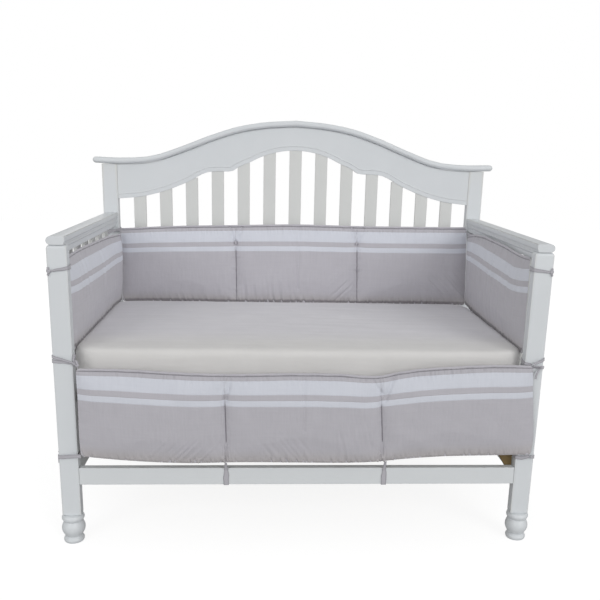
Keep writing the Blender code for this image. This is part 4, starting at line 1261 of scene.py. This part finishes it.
def make_mattress():
    piece = softened("mattress_sheeted", "mattress", sheet, 0.001, 1)
    piece.modifiers.clear()
    remesh = piece.modifiers.new("cells", "REMESH")
    remesh.mode = "VOXEL"
    remesh.voxel_size = MATTRESS_CELL
    mesh = settle(piece)
    points = coordinates(mesh)
    low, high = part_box("mattress")
    x = (points[:, 0] - low.x) / (high.x - low.x) * 2 - 1
    y = (points[:, 1] - low.y) / (high.y - low.y) * 2 - 1
    on_top = np.clip((points[:, 2] - (high.z - TOP_SOFT)) / TOP_SOFT, 0, 1)
    crown = MATTRESS_CROWN * (1 - x ** 4) * (1 - y ** 4)
    wrinkle = WRINKLE * folds(points[:, 1] + 0.06 * np.sin(points[:, 0] * 3.1), 0.055, 11)
    wrinkle *= 0.5 + 0.5 * np.sin(points[:, 0] * 5.3 + 1.0)
    wrinkle += LONG_WRINKLE * folds(points[:, 0] * 0.7 + points[:, 1] * 0.5, 0.11, 12)
    points[:, 2] += on_top * (crown + wrinkle)
    corner = np.clip((np.abs(x) - 0.80) / 0.20, 0, 1) ** 2 * np.clip((-y - 0.66) / 0.34, 0, 1) ** 2
    points[:, 0] -= np.sign(x) * CORNER_IN * corner
    points[:, 1] += CORNER_BACK * corner
    points[:, 0] += np.sign(x) * SIDE_BULGE * np.clip((np.abs(x) - 0.93) / 0.06, 0, 1)
    mesh.vertices.foreach_set("co", points.ravel())
    mesh.materials.clear()
    mesh.materials.append(sheet.material)
    mesh.shade_smooth()
    mesh.update()
    fit(piece, "sheet_cloth", "mattress")


make_mattress()

# %% [markdown]
# ## Tapes
#
# Each tie is a strip of the panels' cloth, folded, stitched along its edge and knotted round a post or
# the low rail. It is modelled directly: a flat, slightly cupped section runs along the tape's route, turns
# each corner of the post, and narrows where a knot draws it together. The solids' routes are close to it.

# %% Tape cloth
tape_cloth = Finish("tape_cloth", roughness=0.9, sheen_weight=0.2, sheen_roughness=0.6)
tape_measure = tape_cloth.place("cloth")
tape_across = tape_cloth.parts(tape_measure)[1]
tape_fleck = tape_cloth.noise(tape_measure, 180.0, 4.0, 0.6)
tape_edge = tape_cloth.step((tape_across.absolute() - 0.78).absolute(), 0.0, 0.12, 1, 0)
tape_grey = tape_cloth.mix(tape_fleck, colour(0.400, 0.392, 0.425), colour(0.520, 0.510, 0.545))
tape_cloth.set("Base Color", tape_cloth.mix(tape_edge * 0.80, tape_grey, colour(0.17, 0.165, 0.185)))
tape_cloth.bump(tape_fleck - tape_edge * 0.8, 0.0005, 0.7)
print("tape cloth ready")

# %% [markdown]
# ## Where each tape goes
#
# A tape's route is a list of stops. A stop on a post is one of its corners, which the tape turns, or a
# place; each has a height and the width that the tape is drawn to there. Widths are read off the
# photograph where a tape lies flat, and a tape narrows towards its knot.

# %% Routes of the tapes
UP = (0.0, 0.0, 1.0)
FORWARDS, BACKWARDS = (0.0, -1.0, 0.0), (0.0, 1.0, 0.0)
LEFTWARDS, RIGHTWARDS = (-1.0, 0.0, 0.0), (1.0, 0.0, 0.0)
FRONT_INNER, FRONT_OUTER, BACK_OUTER, BACK_INNER = range(4)
TAPE_THICK = 0.0012
TAPE_LIFT = 0.0016           # how far a tape's middle stands off the wood
KNOT_OFF = 0.0044            # how far an upper knot's middle stands off the post's face
SEWN = -0.0165               # depth at which tapes are sewn to the front panel, and to the back panel
BACK_SEWN = -0.0175
LOW_KNOT = (HALF_LENGTH + 0.0056, POST_DEPTH + 0.0034)
LOW_KNOT_LEFT = (-LOW_KNOT[0], LOW_KNOT[1])

# A knot is (x, depth, height), with the depth from the posts' front faces. A strip has the way it faces,
# if it isn't upright, and its stops: a post's corner or a place (x, depth), then a height and a width.
POST_TAPES = [
    ("tie_front_left_top", -1, FRONT_Y, (-0.6430, -0.0090, 0.5600), (
        (None, (((-0.6430, -0.0105), 0.5620, 0.005), (FRONT_OUTER, 0.5775, 0.0090),
                (BACK_OUTER, 0.5740, 0.014), (BACK_INNER, 0.5690, 0.012),
                ((-0.6478, 0.0060), 0.5610, 0.010), ((-0.6425, -0.0070), 0.5600, 0.005))),
        (None, (((-0.6430, -0.0090), 0.5600, 0.005), ((-0.6322, SEWN), 0.5510, 0.007))),
        (FORWARDS, (((-0.6430, -0.0090), 0.5600, 0.004), ((-0.6370, -0.0125), 0.5700, 0.006),
                    ((-0.6335, -0.0140), 0.5630, 0.006), ((-0.6310, -0.0150), 0.5540, 0.007))),
        (FORWARDS, (((-0.6430, -0.0090), 0.5600, 0.004), ((-0.6440, -0.0095), 0.5760, 0.006),
                    ((-0.6405, -0.0080), 0.5880, 0.005))))),
    ("tie_front_right_top", 1, FRONT_Y, (0.6995, -0.0075, 0.5580), (
        (None, (((0.6690, SEWN), 0.5690, 0.006), ((0.6960, -0.0060), 0.5760, 0.008),
                (FRONT_OUTER, 0.5800, 0.0100), (BACK_OUTER, 0.5750, 0.014), (BACK_INNER, 0.5690, 0.014),
                (FRONT_INNER, 0.5670, 0.010), ((0.6680, -0.0080), 0.5650, 0.006))),
        (None, (((0.6670, SEWN), 0.5650, 0.004), ((0.6850, -0.0120), 0.5610, 0.004),
                ((0.6995, -0.0075), 0.5580, 0.004))),
        (FORWARDS, (((0.6995, -0.0075), 0.5580, 0.004), ((0.6900, -0.0100), 0.5510, 0.005),
                    ((0.6830, -0.0115), 0.5400, 0.006), ((0.6810, -0.0110), 0.5230, 0.006))))),
    ("tie_left_low", -1, FRONT_Y, (-0.6430, 0.0080, 0.5520), (
        (None, (((-0.6430, 0.0060), 0.5520, 0.006), (FRONT_INNER, 0.5590, 0.007),
                (FRONT_OUTER, 0.5650, 0.010), (BACK_OUTER, 0.5600, 0.014), (BACK_INNER, 0.5540, 0.014),
                ((-0.6430, 0.0100), 0.5520, 0.006))),)),
    ("tie_right_low", 1, FRONT_Y, (0.6425, 0.0080, 0.5550), (
        (None, (((0.6430, 0.0060), 0.5550, 0.006), (FRONT_INNER, 0.5575, 0.005),
                (FRONT_OUTER, 0.5530, 0.005), (BACK_OUTER, 0.5530, 0.012), (BACK_INNER, 0.5530, 0.012),
                ((0.6430, 0.0100), 0.5550, 0.006))),)),
    ("tie_front_left_low", -1, FRONT_Y, (*LOW_KNOT_LEFT, 0.2750), (
        (None, ((LOW_KNOT_LEFT, 0.2750, 0.006), (FRONT_OUTER, 0.2745, 0.0120),
                ((-0.6375, SEWN), 0.2840, 0.011))),
        (None, ((LOW_KNOT_LEFT, 0.2750, 0.006), (BACK_INNER, 0.2750, 0.015),
                ((-0.6480, 0.0010), 0.2770, 0.013), ((-0.6375, SEWN), 0.2840, 0.011))),
        (LEFTWARDS, ((LOW_KNOT_LEFT, 0.2750, 0.006), ((-0.7120, 0.0274), 0.2630, 0.010),
                     ((-0.7110, 0.0234), 0.2470, 0.012))))),
    ("tie_front_right_low", 1, FRONT_Y, (*LOW_KNOT, 0.2740), (
        (None, ((LOW_KNOT, 0.2740, 0.006), (FRONT_OUTER, 0.2740, 0.0100),
                ((0.6975, -0.0055), 0.2760, 0.010), ((0.6880, SEWN), 0.2820, 0.009))),
        (None, ((LOW_KNOT, 0.2740, 0.006), (BACK_INNER, 0.2730, 0.015), (FRONT_INNER, 0.2730, 0.012),
                ((0.6640, -0.0060), 0.2735, 0.012), ((0.6840, SEWN), 0.2820, 0.010))),
        (RIGHTWARDS, ((LOW_KNOT, 0.2740, 0.006), ((0.7120, 0.0274), 0.2620, 0.010),
                      ((0.7110, 0.0234), 0.2460, 0.012))))),
]


def side_tape(name, side, inner_height, outer_height):
    """Round a front post, with its knot on the post's face by the outer corner."""
    x, depth = side * (HALF_LENGTH - 0.005), -KNOT_OFF
    middle = (inner_height + outer_height) / 2
    start = ((x, depth), outer_height, 0.005)
    loop = (start, (FRONT_INNER, inner_height, 0.0105), (BACK_INNER, inner_height, 0.015),
            (BACK_OUTER, middle, 0.014), (FRONT_OUTER, outer_height, 0.007), start)
    short_end = (start, ((x + side * 0.002, depth + 0.001), outer_height + 0.011, 0.006))
    long_end = (start, ((x + side * 0.003, depth + 0.001), outer_height - 0.012, 0.006))
    return name, side, FRONT_Y, (x, depth, outer_height), (
        (None, loop), (FORWARDS, short_end), (FORWARDS, long_end))


def back_tape(name, side, sewn_x, knot_x, height):
    """From the back panel's top corner round a back post."""
    depth = BACK_SEWN
    start = ((knot_x, depth), height, 0.006)
    loop = (((knot_x + side * 0.002, depth), height, 0.006), (FRONT_OUTER, height, 0.0125),
            (BACK_OUTER, height, 0.015), (BACK_INNER, height, 0.015),
            (FRONT_INNER, height, 0.0125), ((knot_x - side * 0.002, depth + 0.002), height, 0.006))
    link = (start, ((sewn_x, depth), height + 0.001, 0.007))
    free_end = (start, ((knot_x + side * 0.014, depth), height - 0.006, 0.007),
                ((knot_x + side * 0.024, depth), height - 0.013, 0.008))
    return name, side, BACK_Y, (knot_x, depth, height), (
        (None, loop), (None, link), (FORWARDS, free_end))


POST_TAPES += [
    side_tape("tie_left_top", -1, 0.8290, 0.8205),
    side_tape("tie_right_top", 1, 0.8420, 0.8370),
    back_tape("tie_back_left", -1, -0.6418, -0.6650, 0.8515),
    back_tape("tie_back_right", 1, 0.6518, 0.6620, 0.8590),
]
RAIL_TAPES = (("tie_seam_left", -0.2200, 0.2628), ("tie_seam_right", 0.2515, 0.2673))
print(len(POST_TAPES), "tapes round posts,", len(RAIL_TAPES), "round the low rail")

# %% [markdown]
# ## From a route to a tape
#
# The tape's section is a slim oval with thicker edges, where the cloth is folded in. It is carried along
# the route in small steps, and pleats where it narrows. The knot is a round strand on a knotted path.

# %% Making a tape
TAPE_STEP = 0.004
TAPE_SWAY = 0.0006           # how far a tape strays to its sides
PLEAT = 0.0009
UNPLEATED = 0.012            # a tape narrower than this pleats
SECTION = (
    (-1.0, 0.0), (-0.96, 0.42), (-0.80, 0.50), (-0.4, 0.42), (0.0, 0.40), (0.4, 0.42), (0.80, 0.50),
    (0.96, 0.42), (1.0, 0.0), (0.96, -0.42), (0.80, -0.50), (0.0, -0.42), (-0.80, -0.50), (-0.96, -0.42),
)
KNOT_RADIUS = 0.0048
KNOT_RINGS = 40
STRAND_POINTS = 8


def post_corner(side, front, corner):
    """Three points round a corner of a post, from its side to its face."""
    across = -1 if corner in (FRONT_INNER, BACK_INNER) else 1
    along = -1 if corner in (FRONT_INNER, FRONT_OUTER) else 1
    edge_x = POST_X + across * POST_WIDTH / 2
    edge_y = front + POST_DEPTH / 2 + along * POST_DEPTH / 2
    turns = []
    for degrees in (0, 45, 90):
        turn = math.radians(degrees)
        x = edge_x + across * TAPE_LIFT * math.cos(turn)
        turns.append((side * x, edge_y + along * TAPE_LIFT * math.sin(turn)))
    return turns


def tape_route(side, front, stops):
    points, widths = [], []
    for place, height, width in stops:
        if isinstance(place, tuple):
            turns = [(place[0], front + place[1])]
        else:
            turns = post_corner(side, front, place)
            if points and math.dist(turns[-1], points[-1][:2]) < math.dist(turns[0], points[-1][:2]):
                turns.reverse()
        for turn in turns:
            points.append((*turn, height))
            widths.append(width)
    return points, widths


def tape_strip(points, widths, facing=None, across=UP, seed=1):
    """Rings of a tape through points, with the measure of the cloth for each ring point."""
    places = [np.array(points[0], float)]
    sizes = [widths[0]]
    for start, end, low, high in zip(points, points[1:], widths, widths[1:]):
        start, end = np.array(start, float), np.array(end, float)
        count = max(1, math.ceil(np.linalg.norm(end - start) / TAPE_STEP))
        for step in range(1, count + 1):
            t = step / count
            places.append(start + (end - start) * t)
            sizes.append(low + (high - low) * t)
    travelled = np.concatenate([[0.0], np.cumsum(np.linalg.norm(np.diff(places, axis=0), axis=1))])
    sway = folds(travelled, 0.03, seed) * TAPE_SWAY
    rings, measures = [], []
    for i, (place, size) in enumerate(zip(places, sizes)):
        forward = places[min(i + 1, len(places) - 1)] - places[max(i - 1, 0)]
        side = np.cross(facing, forward) if facing is not None else np.array(across, float)
        side /= np.linalg.norm(side)
        normal = np.cross(forward, side)
        normal /= np.linalg.norm(normal)
        gathered = max(0.0, 1 - size / UNPLEATED)
        ring = []
        for u, v in SECTION:
            lift = v * TAPE_THICK + gathered * PLEAT * math.cos(u * 3 * math.pi)
            ring.append(tuple(place + side * (u * size / 2 + sway[i]) + normal * lift))
            measures.append((travelled[i], u, 0.0))
        rings.append(ring)
    return rings, measures


def merged(shape):
    """Joins the two ends of a round strand."""
    bmesh.ops.remove_doubles(shape, verts=shape.verts, dist=1e-6)


def knot_lump(name, centre, radius):
    """A small overhand knot: a round strand along a knotted path."""
    line = []
    for step in range(KNOT_RINGS):
        t = 2 * math.pi * step / KNOT_RINGS
        line.append(np.array((math.sin(t) + 2 * math.sin(2 * t), 0.55 * -math.sin(3 * t),
                              math.cos(t) - 2 * math.cos(2 * t))) * radius * 0.26)
    strand = radius * 0.40
    rings = []
    for i, place in enumerate(line):
        forward = line[(i + 1) % KNOT_RINGS] - line[i - 1]
        forward /= np.linalg.norm(forward)
        side = np.cross(forward, (0, 1, 0))
        side /= np.linalg.norm(side)
        normal = np.cross(side, forward)
        ring = []
        for corner in range(STRAND_POINTS):
            angle = 2 * math.pi * corner / STRAND_POINTS
            ring.append(tuple(np.array(centre) + place + side * strand * 1.15 * math.cos(angle)
                              + normal * strand * 0.75 * math.sin(angle)))
        rings.append(ring)
    rings.append(rings[0])
    points, faces = lofted(rings, closed=False)
    piece = as_piece(name, points, faces, tape_cloth, 60)
    reworked(piece.data, piece.data, merged)
    measures = [(math.atan2(point.co.x, point.co.z) * 0.01, 0.0, 0.0) for point in piece.data.vertices]
    write_vectors(piece.data, "cloth", measures)
    return fit(piece, "tape_cloth")


def make_tape(name, strips, knot_at):
    """strips are lists of rings with their measures. The tape is cut as long as the routes of its strips."""
    points, faces, measures = [], [], []
    for rings, strip_measures in strips:
        strip_points, strip_faces = lofted(rings)
        start = len(points)
        points += strip_points
        faces += [tuple(start + corner for corner in face) for face in strip_faces]
        measures += strip_measures
    tape = as_piece(name + "_tape", points, faces, tape_cloth, 60)
    write_vectors(tape.data, "cloth", measures)
    lump = knot_lump(name + "_knot", knot_at, KNOT_RADIUS)
    fit(tape, "tape_cloth", name)


# %% [markdown]
# ## Tying them
#
# The posts' tapes follow their table. The two tapes at the front panel's channels go down the low rail's
# face, under it and up behind it, where they are knotted.

# %% Tapes round the posts
for number, (name, side, front, knot_at, strips) in enumerate(POST_TAPES):
    made = []
    for order, (facing, stops) in enumerate(strips):
        points, widths = tape_route(side, front, stops)
        made.append(tape_strip(points, widths, facing, seed=number * 10 + order))
    word = "left" if side < 0 else "right"
    post = f"post_{'front' if front == FRONT_Y else 'back'}_{word}_turned"
    make_tape(name, made, (knot_at[0], front + knot_at[1], knot_at[2]))

# %% Tapes round the low rail
RAIL_THICK = 0.022
RAIL_FRONT = 0.002
RAIL_BACK = RAIL_FRONT + RAIL_THICK
KNOT_DEPTH, KNOT_HEIGHT = RAIL_BACK + 0.0075, RAIL_BOTTOM + 0.036

for number, (name, x, sewn_height) in enumerate(RAIL_TAPES):
    route = (
        (SEWN, sewn_height, 0.007),
        (SEWN + 0.0055, sewn_height - 0.0098, 0.008),
        (RAIL_FRONT - TAPE_LIFT, RAIL_TOP - 0.006, 0.011),
        (RAIL_FRONT - TAPE_LIFT, (RAIL_TOP + RAIL_BOTTOM) / 2, 0.0165),
        (RAIL_FRONT - TAPE_LIFT, RAIL_BOTTOM, 0.015),
        (RAIL_FRONT, RAIL_BOTTOM - TAPE_LIFT, 0.015),
        (RAIL_BACK, RAIL_BOTTOM - TAPE_LIFT, 0.015),
        (RAIL_BACK + TAPE_LIFT, RAIL_BOTTOM, 0.015),
        (RAIL_BACK + TAPE_LIFT, RAIL_BOTTOM + 0.020, 0.011),
        (KNOT_DEPTH, KNOT_HEIGHT - 0.002, 0.007),
    )
    knot_at = (x, FRONT_Y + KNOT_DEPTH, KNOT_HEIGHT)
    hanging = (knot_at, (x + 0.006, knot_at[1] + 0.003, KNOT_HEIGHT - 0.014),
               (x + 0.009, knot_at[1] + 0.002, KNOT_HEIGHT - 0.030))
    band = tape_strip([(x, FRONT_Y + depth, z) for depth, z, _ in route], [stop[2] for stop in route],
                      across=RIGHTWARDS, seed=200 + number)
    tail = tape_strip(hanging, (0.006, 0.010, 0.012), facing=BACKWARDS, seed=210 + number)
    make_tape(name, [band, tail], knot_at)

# %% [markdown]
# ## Stitches
#
# A row of stitches runs down each channel and along the panels' top edges. Stitches repeat along a path,
# so they are a rule: the path is cut into equal steps, and a small long bead of thread lies at each step,
# turned along the path. Rays onto the finished cloth give the path, so each stitch sits in its groove.

# %% The rule for a row of stitches
thread = Finish("sewing_thread", roughness=0.8, sheen_weight=0.3)
thread_place = thread.place()
twist = thread.noise(thread_place, 900.0, 2.0, 0.5)
thread.set("Base Color", thread.mix(twist, colour(0.26, 0.25, 0.28), colour(0.34, 0.33, 0.36)))
thread.bump(twist, 0.0002, 0.5)

stitch_rule = Rule("stitches_on_path", [
    ("Path", "NodeSocketObject", None), ("Pitch", "NodeSocketFloat", 0.0042),
    ("Length", "NodeSocketFloat", 0.0030), ("Width", "NodeSocketFloat", 0.0007)])
spots = stitch_rule.node("GeometryNodeCurveToPoints", {"mode": "LENGTH"}, {
    "Curve": stitch_rule.path_of("Path"), "Length": stitch_rule.input("Pitch")})
turning = Wire(stitch_rule, spots.socket.node.outputs["Rotation"])
bead = stitch_rule.node("GeometryNodeMeshIcoSphere", values={"Radius": 0.5, "Subdivisions": 1})
stretch = stitch_rule.node("ShaderNodeCombineXYZ", values={
    0: stitch_rule.input("Width"), 1: stitch_rule.input("Width"), 2: stitch_rule.input("Length")})
stitches = stitch_rule.node("GeometryNodeInstanceOnPoints", values={
    "Points": spots, "Instance": bead, "Rotation": turning, "Scale": stretch})
stitch_rule.close(stitches, thread)
print("stitch rule has", len(stitch_rule.tree.nodes), "nodes")


# %% Stitches on the panels
CHANNEL_STITCHES = np.linspace(0.02, 0.955, 70)      # shares of the height
TOP_STITCHES = np.linspace(0.008, 0.992, 300)        # shares of the length
STITCHES_BELOW_ROLL = 0.0012
THREAD_OUT = 0.0001


def stitch_rows(name):
    outline, skin = OUTLINES[name], surface(panels[name])
    rows = [[(share, t) for t in CHANNEL_STITCHES] for share in outline.channels]
    groove = 1 - (ROLL + STITCHES_BELOW_ROLL) / outline.height
    rows.append([(s, groove) for s in TOP_STITCHES])
    for number, row in enumerate(rows):
        spots = []
        for s, t in row:
            a, h = outline.place(s, t)
            spot, _, _, _ = skin.ray_cast(outline.point(a, h, 0.08), -outline.face)
            if spot is not None:
                spots.append(spot + outline.face * THREAD_OUT)
        route = path_object("stitch_route", spots)
        stitched = stitch_rule.make(f"{name}_stitches_{number + 1}", Path=route)
        bpy.data.objects.remove(route, do_unlink=True)
        fit(stitched, "panel_cloth")


for name in PANELS:
    stitch_rows(name)
